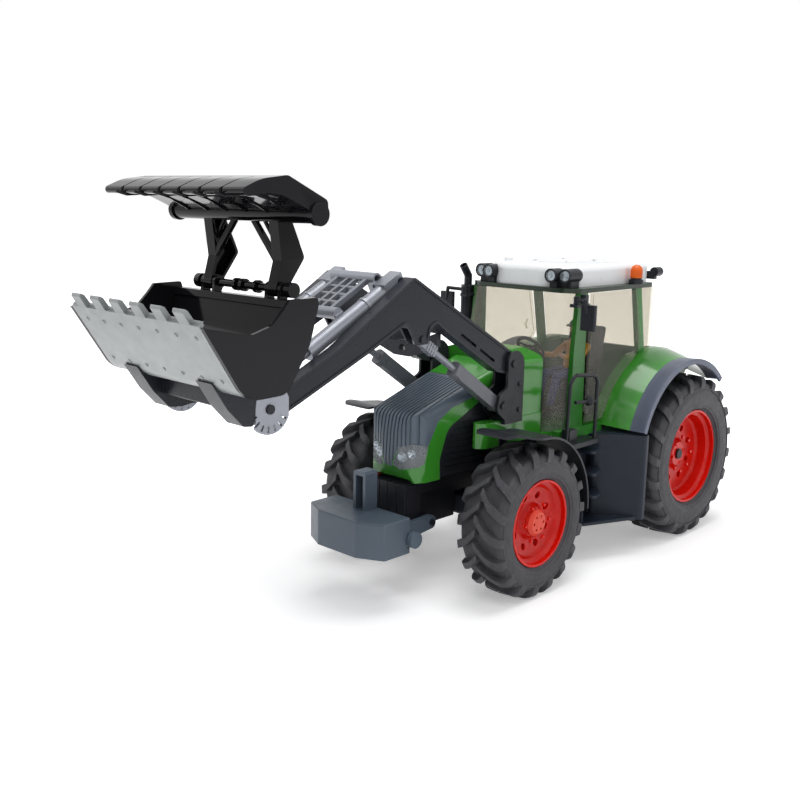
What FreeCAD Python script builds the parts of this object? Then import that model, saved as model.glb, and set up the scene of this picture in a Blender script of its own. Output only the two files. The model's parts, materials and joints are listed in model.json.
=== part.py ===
import FreeCAD, Part
import math
import os
from FreeCAD import Vector

# Toy tractor with a front loader, in millimetres, +Z up, the nose towards -Y.
# Side-view places are given as (f, z): f is the distance forward of the rear axle.

# --- wheels ---------------------------------------------------------------
WHEELBASE = 190.6
TRACK = 64.0                # wheel centre from the middle plane
FRONT_TYRE_R = 50.1
FRONT_TYRE_W = 34.0
FRONT_RIM_R = 28.9
FRONT_LUGS = 18
REAR_TYRE_R = 62.6
REAR_TYRE_W = 42.0
REAR_RIM_R = 36.3
REAR_LUGS = 20
LUG_H = 4.2
LUG_W = 4.6
RIM_LIP = 1.6
RIM_WALL = 1.8
AXLE_STUB_R = 4.0
RUN = 0.08                  # radial clearance of a running fit
GAP = 0.35                  # free gap between parts of different bodies

# --- loader ---------------------------------------------------------------
PIVOT_BACK = 15.6           # boom pivot behind the front axle
PIVOT_Z = 148.0
KNEE_DF, KNEE_DZ = 95.6, 61.2
TIP_DF, TIP_DZ = 206.1, -2.2
ARM_IN = 29.5               # inner and outer faces of the boom arms
ARM_OUT = 38.0
PIN_R = 2.6
CHEEK_T = 2.0
LIFT_BASE_DF, LIFT_BASE_DZ = 11.0, -27.0
LIFT_LUG_DF, LIFT_LUG_DZ = 87.0, 23.5
LIFT_X = 33.75
LIFT_TUBE_R = 4.2
LIFT_ROD_R = 2.2
LIFT_TUBE_L = 52.0
TILT_X = 24.3
TILT_TUBE_R = 4.7
TILT_ROD_R = 2.2
TILT_TUBE_L = 78.0
TILT_HEAD_DF, TILT_HEAD_DZ = 98.5, 58.0
TILT_LUG_DF, TILT_LUG_DZ = -13.1, 10.2

# --- bucket and grapple, measured from the bucket pivot ---------------------
BUCKET_HALF = 61.2
BUCKET_SIDE_T = 2.2
BUCKET_SHEET_T = 1.8
BUCKET_EDGE = 1.3           # side plates stand proud of the sheet by this
LIP_DF, LIP_DZ = 55.2, 48.7
FLOOR_SLOPE = math.atan2(27.5, 17.7)
TEETH = 6
TOOTH_PITCH = 18.8
TOOTH_W = 8.6
TOOTH_L = 9.0
TOOTH_T = 2.8
DISC_R = 13.5
DISC_T = 2.0
JAW_DF, JAW_DZ = -15.1, 60.8
JAW_SHAFT_R = 2.2
JAW_TUBE_R = 4.9
JAW_TUBE_HALF = 61.7
TINES = 7
TINE_GAP = 1.3
TINE_DEPTH = 24.0
LEG_X0, LEG_X1 = 24.9, 32.4     # inner and outer faces of the jaw's legs

# --- tractor --------------------------------------------------------------
HOOD_NOSE = 62.0            # hood nose ahead of the front axle
HOOD_TAIL = 28.0            # hood's rear edge behind the front axle
HOOD_SKIN = 1.5
HOOD_HALF_TAIL = 26.5
HOOD_TOP_TAIL = 146.0
HOOD_CORNER_R = 7.0
HOOD_TAPER = 0.056           # sideways narrowing per mm of length
HOOD_FALL = 0.30
HOOD_HINGE_Z = 146.6
HOOD_PIN_R, HOOD_PIN_HALF = 1.3, 8.0
RIB_PITCH = 3.0
RIB_GROOVE = 1.1
RIB_DEPTH = 0.6
SILL_Z = 93.0
CAB_HALF = 47.0
CAB_FRONT = 117.0
ROOF_Z = 195.0
ROOF_H = 15.0
GLASS_T = 1.2
DOOR_HINGE_F = 101.0
FENDER_OUT = 83.0
FENDER_IN = 50.4            # inner edge, clear of the closed door
FENDER_DF, FENDER_DZ = 9.5, 7.5     # centre of the fender's arc from the rear axle
FENDER_GAP = 4.4            # how much larger the fender's arc is than the tyre
FENDER_T = 2.0
MUDGUARD_GAP = 5.4
MUDGUARD_T = 1.5
GUARD_TIP_DF = 32.0         # front tip of the mudguard ahead of the axle
WEIGHT_HALF = 34.2
WEIGHT_TOP = 60.3
WEIGHT_H = 23.0
KINGPIN_X = 40.0
STEER_ARM = 13.0
STAY_X = 46.0               # outer face of the mudguard's stay, inside the tyre
STAY_T = 1.4

LIP_F = WHEELBASE - PIVOT_BACK + TIP_DF + LIP_DF
TEETH_F = LIP_F + TOOTH_L * math.cos(FLOOR_SLOPE)
REAR_AXLE_Y = (TEETH_F - REAR_TYRE_R) / 2
BOOM_F = WHEELBASE - PIVOT_BACK
FRONT_Z = FRONT_TYRE_R
REAR_Z = REAR_TYRE_R

PARTS = "parts"
os.makedirs(PARTS, exist_ok=True)


# --- drawing helpers --------------------------------------------------------
def at(x, f, z):
    return Vector(x, REAR_AXLE_Y - f, z)


def outline(points, place):
    """Closed wire through points (u, v[, corner radius]), set in space by place."""
    corners = []
    for i, point in enumerate(points):
        corner = Vector(point[0], point[1], 0)
        before = Vector(points[i - 1][0], points[i - 1][1], 0) - corner
        after_point = points[(i + 1) % len(points)]
        after = Vector(after_point[0], after_point[1], 0) - corner
        radius = point[2] if len(point) > 2 else 0
        if radius == 0:
            corners.append((corner, corner, corner))
            continue
        before.normalize()
        after.normalize()
        half = before.getAngle(after) / 2
        back = radius / math.tan(half)
        middle = corner + (before + after).normalize() * (radius / math.sin(half) - radius)
        corners.append((corner + before * back, middle, corner + after * back))
    edges = []
    for i, (start, middle, end) in enumerate(corners):
        if start.distanceToPoint(end) > 1e-6:
            spots = [place(p.x, p.y) for p in (start, middle, end)]
            edges.append(Part.Arc(*spots).toShape())
        following = corners[(i + 1) % len(corners)][0]
        if end.distanceToPoint(following) > 1e-6:
            edges.append(Part.makeLine(place(end.x, end.y), place(following.x, following.y)))
    return Part.Wire(edges)


def side(points, x0, x1):
    """Prism of a side-view outline (f, z) between two planes x0 and x1."""
    face = Part.Face(outline(points, lambda f, z: at(x0, f, z)))
    return face.extrude(Vector(x1 - x0, 0, 0))


def plan(points, z0, z1):
    """Prism of a plan outline (x, f) between two heights."""
    face = Part.Face(outline(points, lambda x, f: at(x, f, z0)))
    return face.extrude(Vector(0, 0, z1 - z0))


def front(points, f0, f1):
    """Prism of a front-view outline (x, z) from f0 forward to f1."""
    face = Part.Face(outline(points, lambda x, z: at(x, f0, z)))
    return face.extrude(Vector(0, f0 - f1, 0))


def inset(points, x0, x1, distance):
    """Prism of a side-view outline drawn in by a distance."""
    face = Part.Face(outline(points, lambda f, z: at(x0, f, z)))
    return face.makeOffset2D(-distance).extrude(Vector(x1 - x0, 0, 0))


def box(x0, x1, f0, f1, z0, z1):
    corner = at(min(x0, x1), max(f0, f1), min(z0, z1))
    return Part.makeBox(abs(x1 - x0), abs(f1 - f0), abs(z1 - z0), corner)


def rod(a, b, radius):
    """Cylinder between two places (x, f, z)."""
    start, end = at(*a), at(*b)
    return Part.makeCylinder(radius, start.distanceToPoint(end), start, end - start)


def cross_rod(f, z, x0, x1, radius):
    return rod((x0, f, z), (x1, f, z), radius)


def ball(x, f, z, radius):
    return Part.makeSphere(radius, at(x, f, z))


def join(*shapes):
    whole = shapes[0].fuse(list(shapes[1:])) if len(shapes) > 1 else shapes[0]
    return whole.removeSplitter()


def mirrored(shape):
    return shape.mirror(Vector(0, 0, 0), Vector(1, 0, 0))


def both(shape):
    return [shape, mirrored(shape)]


def along(start, end, distance):
    """Place on the line from start towards end, both (f, z)."""
    length = math.hypot(end[0] - start[0], end[1] - start[1])
    share = distance / length
    return (start[0] + (end[0] - start[0]) * share, start[1] + (end[1] - start[1]) * share)


def save(node, *shapes):
    solids = [solid for shape in shapes for solid in shape.Solids]
    Part.makeCompound(solids).exportStep(os.path.join(PARTS, node + ".step"))
    valid = all(solid.isValid() for solid in solids)
    print(f"{node}: {len(solids)} solids, {sum(s.Volume for s in solids):.0f} mm3, valid {valid}")


# --- places -----------------------------------------------------------------
def boom(df, dz):
    return (BOOM_F + df, PIVOT_Z + dz)


TIP = boom(TIP_DF, TIP_DZ)
KNEE = boom(KNEE_DF, KNEE_DZ)


def tip(df, dz):
    return (TIP[0] + df, TIP[1] + dz)


JAW = tip(JAW_DF, JAW_DZ)


def jaw(df, dz):
    return (JAW[0] + df, JAW[1] + dz)


# --- wheels -----------------------------------------------------------------
def tyre_section(radius, width, rim, shrink):
    """Half section of a tyre as (x from the middle, radius) points."""
    half = width / 2
    top = radius - shrink
    return [
        (-half * 0.80, rim),
        (-half * 0.99, rim + 4.0, 3.0),
        (-half, (rim + top) / 2 + 2.0, 9.0),
        (-half + 0.4 + shrink * 0.35, top - 0.5, 5.5),
        (0.0, top + 0.5, 60.0),
        (half - 0.4 - shrink * 0.35, top - 0.5, 5.5),
        (half, (rim + top) / 2 + 2.0, 9.0),
        (half * 0.99, rim + 4.0, 3.0),
        (half * 0.80, rim),
    ]


def spin(points, f, z, middle):
    """Solid of revolution round a wheel's axis."""
    def place(x, radius):
        return at(middle + x, f, z + radius)
    face = Part.Face(outline(points, place))
    return face.revolve(at(middle, f, z), Vector(1, 0, 0), 360)


def tyre(radius, width, rim, lugs, f, z):
    carcass = spin(tyre_section(radius, width, rim, LUG_H), f, z, TRACK)
    ring = spin(tyre_section(radius, width, rim, 0.0), f, z, TRACK)
    half = width / 2
    step = 360.0 / lugs
    sweep = 2 * math.pi * radius / lugs * 0.95
    bars = []
    for sign, phase in ((1, 0.0), (-1, 0.5)):
        bar = [
            (-1.0 * sign, 0.0),
            (half * 0.45 * sign, -sweep * 0.55),
            ((half + 1.0) * sign, -sweep * 0.85),
            ((half + 1.0) * sign, -sweep * 0.85 + LUG_W * 1.25),
            (half * 0.45 * sign, -sweep * 0.55 + LUG_W * 1.15),
            (-1.0 * sign, LUG_W),
        ]

        def place(x, run):
            return at(TRACK + x, f - run, z + radius - LUG_H * 2.6)
        prism = Part.Face(outline(bar, place)).extrude(Vector(0, 0, LUG_H * 2.6 + 2.0))
        lug = ring.common(prism)
        for i in range(lugs):
            turned = lug.copy()
            turned.rotate(at(TRACK, f, z), Vector(1, 0, 0), step * (i + phase))
            bars.append(turned)
    return join(carcass, *bars)


def rim(radius, width, dish, hub_r, holes, hole_r, hole_circle, f, z):
    """Dished rim: outer lip, barrel and a disc set back by the dish depth."""
    half = width * 0.40
    seat = radius - RUN
    face_x = half
    disc_x = face_x - dish
    barrel = [
        (-half, seat), (face_x + 1.0, seat), (face_x + 1.0, seat - RIM_LIP),
        (face_x - 2.5, seat - RIM_LIP, 1.0), (face_x - 4.0, seat - RIM_LIP - 2.6),
        (disc_x + 3.0, seat - RIM_LIP - 4.4, 3.0), (disc_x + 1.2, hub_r + 3.0, 2.0),
        (disc_x + 4.5, hub_r), (disc_x + 4.5, AXLE_STUB_R + RUN),
        (disc_x - 2.0, AXLE_STUB_R + RUN), (disc_x - 2.0, seat - RIM_LIP - 6.5, 3.0),
        (-half, seat - RIM_LIP - RIM_WALL),
    ]
    body = spin(barrel, f, z, TRACK)
    cutters = []
    for i in range(holes):
        angle = 2 * math.pi * (i + 0.5) / holes
        hf = f + hole_circle * math.cos(angle)
        hz = z + hole_circle * math.sin(angle)
        cutters.append(cross_rod(hf, hz, TRACK + disc_x - 6, TRACK + disc_x + 8, hole_r))
    return body.cut(cutters), TRACK + disc_x


front_tyre = tyre(FRONT_TYRE_R, FRONT_TYRE_W, FRONT_RIM_R, FRONT_LUGS, WHEELBASE, FRONT_Z)
front_rim, front_disc_x = rim(FRONT_RIM_R, FRONT_TYRE_W, 9.5, 9.5, 8, 2.4, 17.5, WHEELBASE, FRONT_Z)
rear_tyre = tyre(REAR_TYRE_R, REAR_TYRE_W, REAR_RIM_R, REAR_LUGS, 0.0, REAR_Z)
rear_rim, rear_disc_x = rim(REAR_RIM_R, REAR_TYRE_W, 15.0, 9.0, 8, 2.6, 20.0, 0.0, REAR_Z)
hub_cap = spin([
    (4.5 + GAP, 0.0), (9.2, 0.0), (9.2, 7.0, 1.0), (7.0, 9.0), (4.5 + GAP, 9.0),
], WHEELBASE, FRONT_Z, front_disc_x)
cap_holes = [
    cross_rod(WHEELBASE + 4.8 * math.cos(math.pi * i / 3), FRONT_Z + 4.8 * math.sin(math.pi * i / 3),
              front_disc_x + 7.5, front_disc_x + 12.0, 0.9)
    for i in range(6)
]
hub_cap = hub_cap.cut(cap_holes)
front_wheel_centre = Part.makeCompound([front_rim, hub_cap])
for name, mirror in (("left", False), ("right", True)):
    for node, shape in (("front_tyre_", front_tyre), ("front_rim_", front_wheel_centre),
                        ("rear_tyre_", rear_tyre), ("rear_rim_", rear_rim)):
        save(node + name, mirrored(shape) if mirror else shape)

# --- front axle and steering ------------------------------------------------
A = WHEELBASE
AXLE_PIVOT_R = 3.0
beam = join(
    side([(A - 7, FRONT_Z - 7, 2), (A + 7, FRONT_Z - 7, 2), (A + 7, FRONT_Z + 6, 2),
          (A - 7, FRONT_Z + 6, 2)], -KINGPIN_X + 6, KINGPIN_X - 6),
    *both(box(KINGPIN_X - 8, KINGPIN_X + 3, A - 4.5, A + 4.5, FRONT_Z + 6.5, FRONT_Z + 10)),
    *both(box(KINGPIN_X - 8, KINGPIN_X + 3.5, A - 5, A + 5, FRONT_Z - 10, FRONT_Z - 6.5)),
    *both(box(KINGPIN_X - 8, KINGPIN_X - 5.5, A - 5, A + 5, FRONT_Z - 10, FRONT_Z + 10)),
)
beam = beam.cut(rod((0, A - 9, FRONT_Z), (0, A + 9, FRONT_Z), AXLE_PIVOT_R + RUN))
kingpin_hole = [rod((s * KINGPIN_X, A, FRONT_Z - 12), (s * KINGPIN_X, A, FRONT_Z + 12), 1.6 + RUN)
                for s in (1, -1)]
beam = beam.cut(kingpin_hole)
save("front_axle_beam", beam)

knuckle = join(
    box(KINGPIN_X - 4.0, KINGPIN_X + 3.5, A - 4.5, A + 4.5, FRONT_Z - 6.5 + GAP, FRONT_Z + 6.5 - GAP),
    rod((KINGPIN_X, A, FRONT_Z - 10), (KINGPIN_X, A, FRONT_Z + 10), 1.6),
    box(KINGPIN_X + 3, STAY_X, A - 4.5, A + 4.5, FRONT_Z - 6.5 + GAP, FRONT_Z + 6.5 - GAP),
    rod((KINGPIN_X + 3, A, FRONT_Z), (front_disc_x + 4.5 - GAP, A, FRONT_Z), AXLE_STUB_R),
    box(KINGPIN_X - 4.0, KINGPIN_X - 0.5, A - STEER_ARM - 2.5, A - 4, FRONT_Z - 1.5, FRONT_Z + 1.5),
    rod((KINGPIN_X - 2, A - STEER_ARM, FRONT_Z - 5.5), (KINGPIN_X - 2, A - STEER_ARM, FRONT_Z + 1.5), 1.3),
)
for name, shape in zip(("left", "right"), both(knuckle)):
    save("steering_knuckle_" + name, shape)
tie_end = KINGPIN_X - 2
tie_rod = join(
    rod((-tie_end, A - STEER_ARM, FRONT_Z - 4), (tie_end, A - STEER_ARM, FRONT_Z - 4), 1.3),
    *both(rod((tie_end, A - STEER_ARM, FRONT_Z - 5.5), (tie_end, A - STEER_ARM, FRONT_Z - 2.4), 3.4)),
)
tie_rod = tie_rod.cut([rod((s * tie_end, A - STEER_ARM, FRONT_Z - 8), (s * tie_end, A - STEER_ARM, FRONT_Z),
                           1.3 + 0.7) for s in (1, -1)])
save("tie_rod", tie_rod)

guard_r = FRONT_TYRE_R + MUDGUARD_GAP


def guard_arc(radius, lift):
    """Side outline edge of the front mudguard, from its rear foot to its front tip."""
    points = []
    for degrees in range(182, 89, -8):
        angle = math.radians(degrees)
        points.append((A + radius * math.cos(angle), FRONT_Z + radius * math.sin(angle)))
    points.append((A + GUARD_TIP_DF * 0.4, FRONT_Z + guard_r + 2.2 + lift))
    points.append((A + GUARD_TIP_DF * 0.75, FRONT_Z + guard_r + 4.6 + lift))
    points.append((A + GUARD_TIP_DF, FRONT_Z + guard_r + 4.0 + lift))
    return points


def curve_strip(inner, outer, x0, x1):
    """Bent sheet between two smooth side-view curves."""
    def spline(points):
        curve = Part.BSplineCurve()
        curve.interpolate([at(x0, f, z) for f, z in points])
        return curve.toShape()
    edges = [spline(inner), Part.makeLine(at(x0, *inner[-1]), at(x0, *outer[-1])),
             spline(outer), Part.makeLine(at(x0, *outer[0]), at(x0, *inner[0]))]
    face = Part.Face(Part.Wire(Part.__sortEdges__(edges)))
    return face.extrude(Vector(x1 - x0, 0, 0))


guard_plan = plan([(TRACK - 17.0, A - 62, 4), (TRACK + 13.0, A - 62, 6), (TRACK + 14.5, A - 20, 20),
                   (TRACK + 16.5, A + 4, 14), (TRACK + 11.0, A + GUARD_TIP_DF + 1, 8),
                   (TRACK - 17.0, A + GUARD_TIP_DF + 1, 5)], 30, 140)
sheet = curve_strip(guard_arc(guard_r, 0.0), guard_arc(guard_r + MUDGUARD_T, MUDGUARD_T),
                    TRACK - 18.5, TRACK + 17.5)
mudguard = join(
    sheet.common(guard_plan),
    box(STAY_X - STAY_T, STAY_X, A - 4, A + 4, FRONT_Z + 6.5 - GAP, FRONT_Z + guard_r - 0.5),
    box(STAY_X - STAY_T, TRACK - 12, A - 4, A + 4, FRONT_Z + guard_r - 0.8, FRONT_Z + guard_r + 0.6),
)
for name, shape in zip(("left", "right"), both(mudguard)):
    save("front_mudguard_" + name, shape)

# --- chassis ------------------------------------------------------------------
frame_half = 13.0
main_frame = join(
    side([(6, 40), (A - 10, 40), (A - 10, FRONT_Z + 10), (A + 10, FRONT_Z + 10), (A + 10, 43),
          (A + 46, 43), (A + 46, 66), (A - 34, 66), (A - 80, 58), (6, 58)],
         -frame_half, frame_half),
    rod((0, A - 12, FRONT_Z), (0, A + 12, FRONT_Z), AXLE_PIVOT_R),
)
main_frame = main_frame.cut(box(-14, 14, A - STEER_ARM - 5.5, A - 10, 38, FRONT_Z + 1.5))
engine = join(
    box(-15, 15, A - 30, A + 46, 66, 112),
    *[box(-17, 17, A - 26 + 12 * i, A - 20 + 12 * i, 74, 100) for i in range(6)],
)
save("engine_block", engine)
gearbox = join(
    box(-22, 22, -8, 104, 58, SILL_Z - 2),
    box(-17, 17, 104, A - 34, 66, SILL_Z - 2),
)
rear_axle_end = rear_disc_x + 6.0
rear_axle = join(
    cross_rod(0, REAR_Z, -TRACK + REAR_TYRE_W / 2 + 2, TRACK - REAR_TYRE_W / 2 - 2, 10.5),
    cross_rod(0, REAR_Z, -rear_axle_end, rear_axle_end, AXLE_STUB_R),
    box(-18, 18, -14, -8, 50, 80),
)
save("transaxle", join(gearbox, rear_axle).cut(main_frame))

block_step = 7.6
nose_blocks = [
    side([(A + 46, 45), (A + 60, 52), (A + 61, 73.5), (A + 46, 73.5)],
         -frame_half - 2.2 + i * block_step, -frame_half - 2.2 + i * block_step + 6.8)
    for i in range(4)
]
nose_frame = join(side([(A + 46, 46), (A + 58.5, 53), (A + 59.5, 72.5), (A + 46, 72.5)],
                       -frame_half - 2.2, frame_half + 2.2), *nose_blocks)

# --- front linkage with its weight ----------------------------------------------
HITCH_F, HITCH_Z = A + 42, 47.0
HITCH_X = 19.5
hitch_axle = cross_rod(HITCH_F, HITCH_Z, -HITCH_X - 3.8, HITCH_X + 3.8, 2.0)
hitch_arm = side([(HITCH_F - 4, HITCH_Z - 4, 3.5), (HITCH_F - 4, HITCH_Z + 4.5, 3.5),
                  (A + 62, 50.5, 6), (A + 75, 50), (A + 75, 42), (A + 60, 40.5, 8)],
                 HITCH_X - 2.2, HITCH_X + 2.2)
hitch_arms = both(hitch_arm.cut(cross_rod(HITCH_F, HITCH_Z, 0, 40, 2.0 + RUN)))
hitch_bar = cross_rod(A + 74, 46, -36.6, 36.6, 3.2)
ball_ends = both(cross_rod(A + 74, 46, 34.6, 38.2, 5.2))
save("front_hitch_arms", join(*hitch_arms, hitch_bar, *ball_ends))
hitch_block = box(-HITCH_X + 3, HITCH_X - 3, HITCH_F - 4, A + 50, HITCH_Z - 3, HITCH_Z + 3)
save("main_frame", join(main_frame, nose_frame, hitch_axle, hitch_block))
weight_front = A + 106.5
weight_back = A + 75
bar_slot = box(-40, 40, weight_back - 5, A + 78, 41, 51)
weight = plan([(-WEIGHT_HALF, weight_back, 1.5), (-WEIGHT_HALF, weight_front - 8.5, 2),
               (-17.2, weight_front, 3), (17.2, weight_front, 3),
               (WEIGHT_HALF, weight_front - 8.5, 2), (WEIGHT_HALF, weight_back, 1.5)],
              WEIGHT_TOP - WEIGHT_H, WEIGHT_TOP)
weight = weight.makeFillet(1.2, [e for e in weight.Edges
                                 if e.BoundBox.ZLength < 0.01 and e.BoundBox.ZMin > WEIGHT_TOP - 0.1])
weight = weight.cut(bar_slot)
yoke_f0, yoke_f1 = A + 76.5, A + 87
yoke = front([(-5.5, WEIGHT_TOP), (-5.5, WEIGHT_TOP + 25, 2), (5.5, WEIGHT_TOP + 25, 2),
              (5.5, WEIGHT_TOP)], yoke_f0, yoke_f1)
yoke = yoke.cut(box(-3.2, 3.2, yoke_f0 + 1.5, yoke_f1 + 2, WEIGHT_TOP - 1, WEIGHT_TOP + 22))
save("front_weight", join(weight, yoke))

# --- hood -------------------------------------------------------------------
H_TAIL = A - HOOD_TAIL
H_NOSE = A + HOOD_NOSE
CHIN_Z = 75.0


def hood_body(skin, low):
    """Hood block drawn in by a skin: two sheared halves, a nose profile and a nose plan."""
    half, top = HOOD_HALF_TAIL - skin, HOOD_TOP_TAIL - skin
    corner = HOOD_CORNER_R - skin * 0.8
    run = H_NOSE + 8.0 - H_TAIL
    block = None
    for sign in (1, -1):
        points = [(-60 * sign, 40), (-60 * sign, top), (half * sign, top, corner), (half * sign, 40)]
        face = Part.Face(outline(points, lambda x, z: at(x, H_TAIL, z)))
        sheared = face.extrude(Vector(-sign * HOOD_TAPER * run, -run, -HOOD_FALL * run))
        block = sheared if block is None else block.common(sheared)
    brow = HOOD_TOP_TAIL - HOOD_FALL * (A + 51 - H_TAIL) - skin * 1.1
    nose = side([(H_TAIL - 1, low), (H_TAIL - 1, 170), (A + 40, 170), (A + 51 - skin * 0.4, brow),
                 (A + 58.6 - skin, brow - 2.8, 7), (H_NOSE - 1.2 - skin, 108), (H_NOSE - skin, 88, 10),
                 (H_NOSE - 6 - skin, low)], -45, 45)
    blunt = plan([(-42, H_TAIL - 2), (-42, A + 40), (-24 + skin, A + 46),
                  (-17.5 + skin, H_NOSE - 3.5 - skin, 6),
                  (0, H_NOSE + 0.6 - skin), (17.5 - skin, H_NOSE - 3.5 - skin, 6),
                  (24 - skin, A + 46), (42, A + 40), (42, H_TAIL - 2)], 40, 175)
    return block.common(nose).common(blunt)


outer_hood = hood_body(0.0, CHIN_Z)
inner_hood = hood_body(HOOD_SKIN, CHIN_Z - 5)
skin_hood = hood_body(RIB_DEPTH, CHIN_Z - 5)
lens_hood = hood_body(3.4, CHIN_Z - 5)
shell = outer_hood.cut(inner_hood)
grille_zone = side([(A + 2, 160), (A + 2, 127.5), (A + 27, 121.5), (A + 39, 114), (A + 48, 98),
                    (A + 50, 96), (A + 66, 96), (A + 66, 160)], -30, 30)
grille_beak = front([(-7.5, 97), (7.5, 97), (3.0, 84.5), (-3.0, 84.5)], A + 50, A + 66)
lamp_side = side([(A + 47.4, 98.5), (A + 50, 88.0), (A + 54, 83.5), (A + 66, 83.5), (A + 66, 103),
                  (A + 58, 101.5)], 0, 30)
lamp_front = front([(4.2, 86.0), (8.0, 83.0), (30, 88), (30, 112), (16.5, 100.5), (7.8, 98.0)],
                   A + 40, A + 66)
lamp_zone = lamp_side.common(lamp_front)
grille = shell.common(grille_zone.fuse(grille_beak))
grille = grille.cut([lamp_zone, mirrored(lamp_zone)])
rib_field = side([(A + 5, 160), (A + 5, 127), (A + 34, 121), (A + 50, 108), (A + 52, 80), (A + 66, 80),
                  (A + 66, 160)], -30, 30)
slabs = [box(x - RIB_GROOVE / 2, x + RIB_GROOVE / 2, A, A + 70, 70, 170)
         for x in [RIB_PITCH * (i - 6.5) for i in range(14)]]
grooves = outer_hood.cut(skin_hood).common(rib_field).common(Part.makeCompound(slabs))
grille = grille.cut(grooves)
save("grille_cover", grille)
lens = outer_hood.cut(lens_hood).common(lamp_zone)
save("headlight_lenses", *both(lens))
band_zone = side([(A + 1.0, 127.5), (A + 27, 121.5), (A + 39, 114), (A + 48, 98), (A + 50, 96), (A + 66, 96),
                  (A + 66, 70), (A + 36, 70), (A + 37, 88, 8), (A + 30, 108, 12), (A + 8, 119),
                  (A - 6, 126, 20), (H_TAIL, 128), (H_TAIL, 160), (A + 2, 160)], -30, 30)
hood_green = shell.common(band_zone)
hood_green = hood_green.cut([grille_beak, lamp_zone, mirrored(lamp_zone), grille_zone])
hinge_pin = cross_rod(H_TAIL, HOOD_HINGE_Z, -HOOD_PIN_HALF, HOOD_PIN_HALF, HOOD_PIN_R)
save("hood_shell", join(hood_green, hinge_pin))
mesh_zone = side([(A + 36, 77), (A + 37, 88, 8), (A + 30, 108, 12), (A + 8, 119), (A - 6, 126, 20),
                  (H_TAIL, 128), (H_TAIL, 77)], 0, 30)
mesh = outer_hood.cut(inner_hood).common(mesh_zone)
mesh_slots = [box(10, 30, H_TAIL + 2, A + 33, z, z + 1.2) for z in range(82, 122, 4)]
mesh_skin = outer_hood.cut(skin_hood).common(side(
    [(A + 33, 80), (A + 33, 89), (A + 27, 105), (A + 7, 115), (A - 7, 121), (H_TAIL + 3, 123),
     (H_TAIL + 3, 80)], 0, 30))
mesh = mesh.cut(mesh_skin.common(Part.makeCompound(mesh_slots)))
save("hood_side_grilles", *both(mesh))

# --- cowl, sill and cab floor -------------------------------------------------
COWL_F0, COWL_F1 = CAB_FRONT + 21.0, H_TAIL - GAP * 2
cowl = join(
    front([(-36, SILL_Z), (-37, 149, 6), (-20, 154, 30), (20, 154, 30), (37, 149, 6), (36, SILL_Z)],
          COWL_F0, COWL_F1),
    plan([(-37, COWL_F0), (-37, A + 8, 6), (-27.5, A + 14, 3), (-27.5, COWL_F1), (27.5, COWL_F1),
          (27.5, A + 14, 3), (37, A + 8, 6), (37, COWL_F0)], SILL_Z, 110)
)
cowl = cowl.cut(box(-26.9, 26.9, COWL_F1 - 2, A + 30, SILL_Z - 1, 112))
hinge_room = cross_rod(H_TAIL, HOOD_HINGE_Z, -HOOD_PIN_HALF - GAP, HOOD_PIN_HALF + GAP, HOOD_PIN_R + GAP)
cowl = cowl.cut(hinge_room)
cowl_void = front([(-34, SILL_Z - 1), (-35, 147, 5), (35, 147, 5), (34, SILL_Z - 1)],
                  COWL_F0 + 2.0, COWL_F1 - 2.0)
TUB_HALF = 41.0
tub = join(
    plan([(-TUB_HALF, -4), (TUB_HALF, -4), (TUB_HALF, 76), (CAB_HALF - 3, 80), (CAB_HALF - 3, CAB_FRONT, 4),
          (37, COWL_F0 - 1), (-37, COWL_F0 - 1), (-CAB_HALF + 3, CAB_FRONT, 4), (-CAB_HALF + 3, 80),
          (-TUB_HALF, 76)], SILL_Z - 2, SILL_Z + 2),
    box(-TUB_HALF, TUB_HALF, 4, 7, SILL_Z, 143),
    *both(side([(4, SILL_Z), (76, SILL_Z), (58, 122, 10), (36, 141), (4, 143)], TUB_HALF - 2, TUB_HALF)),
)
save("cab_tub", tub)

# --- cab frame ------------------------------------------------------------------
POST_OUT = CAB_HALF + 0.5
front_post = side([(102, SILL_Z + 2), (103, ROOF_Z - 3.2), (113.5, ROOF_Z - 3.2), (117, 150, 60),
                   (118, SILL_Z + 2)], CAB_HALF - 3, POST_OUT)
rear_post = side([(22, 142), (31.5, ROOF_Z - 3.2), (40, ROOF_Z - 3.2), (30, 141)], CAB_HALF - 3, POST_OUT)
sill = side([(78, SILL_Z - 4), (CAB_FRONT + 16, SILL_Z - 3), (CAB_FRONT + 16, SILL_Z + 3.5),
             (78, SILL_Z + 3.5)], CAB_HALF - 3, CAB_HALF + 2.2)
rail_plan = [(-CAB_HALF - 0.5, 12, 6), (-CAB_HALF - 0.5, CAB_FRONT - 3.5, 5), (-38, CAB_FRONT + 3.2, 10),
             (38, CAB_FRONT + 3.2, 10), (CAB_HALF + 0.5, CAB_FRONT - 3.5, 5), (CAB_HALF + 0.5, 12, 6)]
cab_frame = join(plan(rail_plan, ROOF_Z - 3.2, ROOF_Z), *both(join(front_post, sill)), *both(rear_post))
save("cab_frame", cab_frame)
ROOF_HALF = 39.5
roof = plan([(-ROOF_HALF, 3, 12), (-ROOF_HALF, 108, 14), (-20, 117, 30), (20, 117, 30),
             (ROOF_HALF, 108, 14), (ROOF_HALF, 3, 12)], ROOF_Z, ROOF_Z + ROOF_H)
roof = roof.makeFillet(5.0, [e for e in roof.Edges if e.BoundBox.ZMin > ROOF_Z + ROOF_H - 0.1])
antenna = rod((-30, 95, ROOF_Z + ROOF_H - 0.4), (-30, 95, ROOF_Z + ROOF_H + 2.4), 3.4)
save("roof", join(roof, antenna))

# --- glass ----------------------------------------------------------------------
SCREEN_KNEE_Z = 152.0


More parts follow.
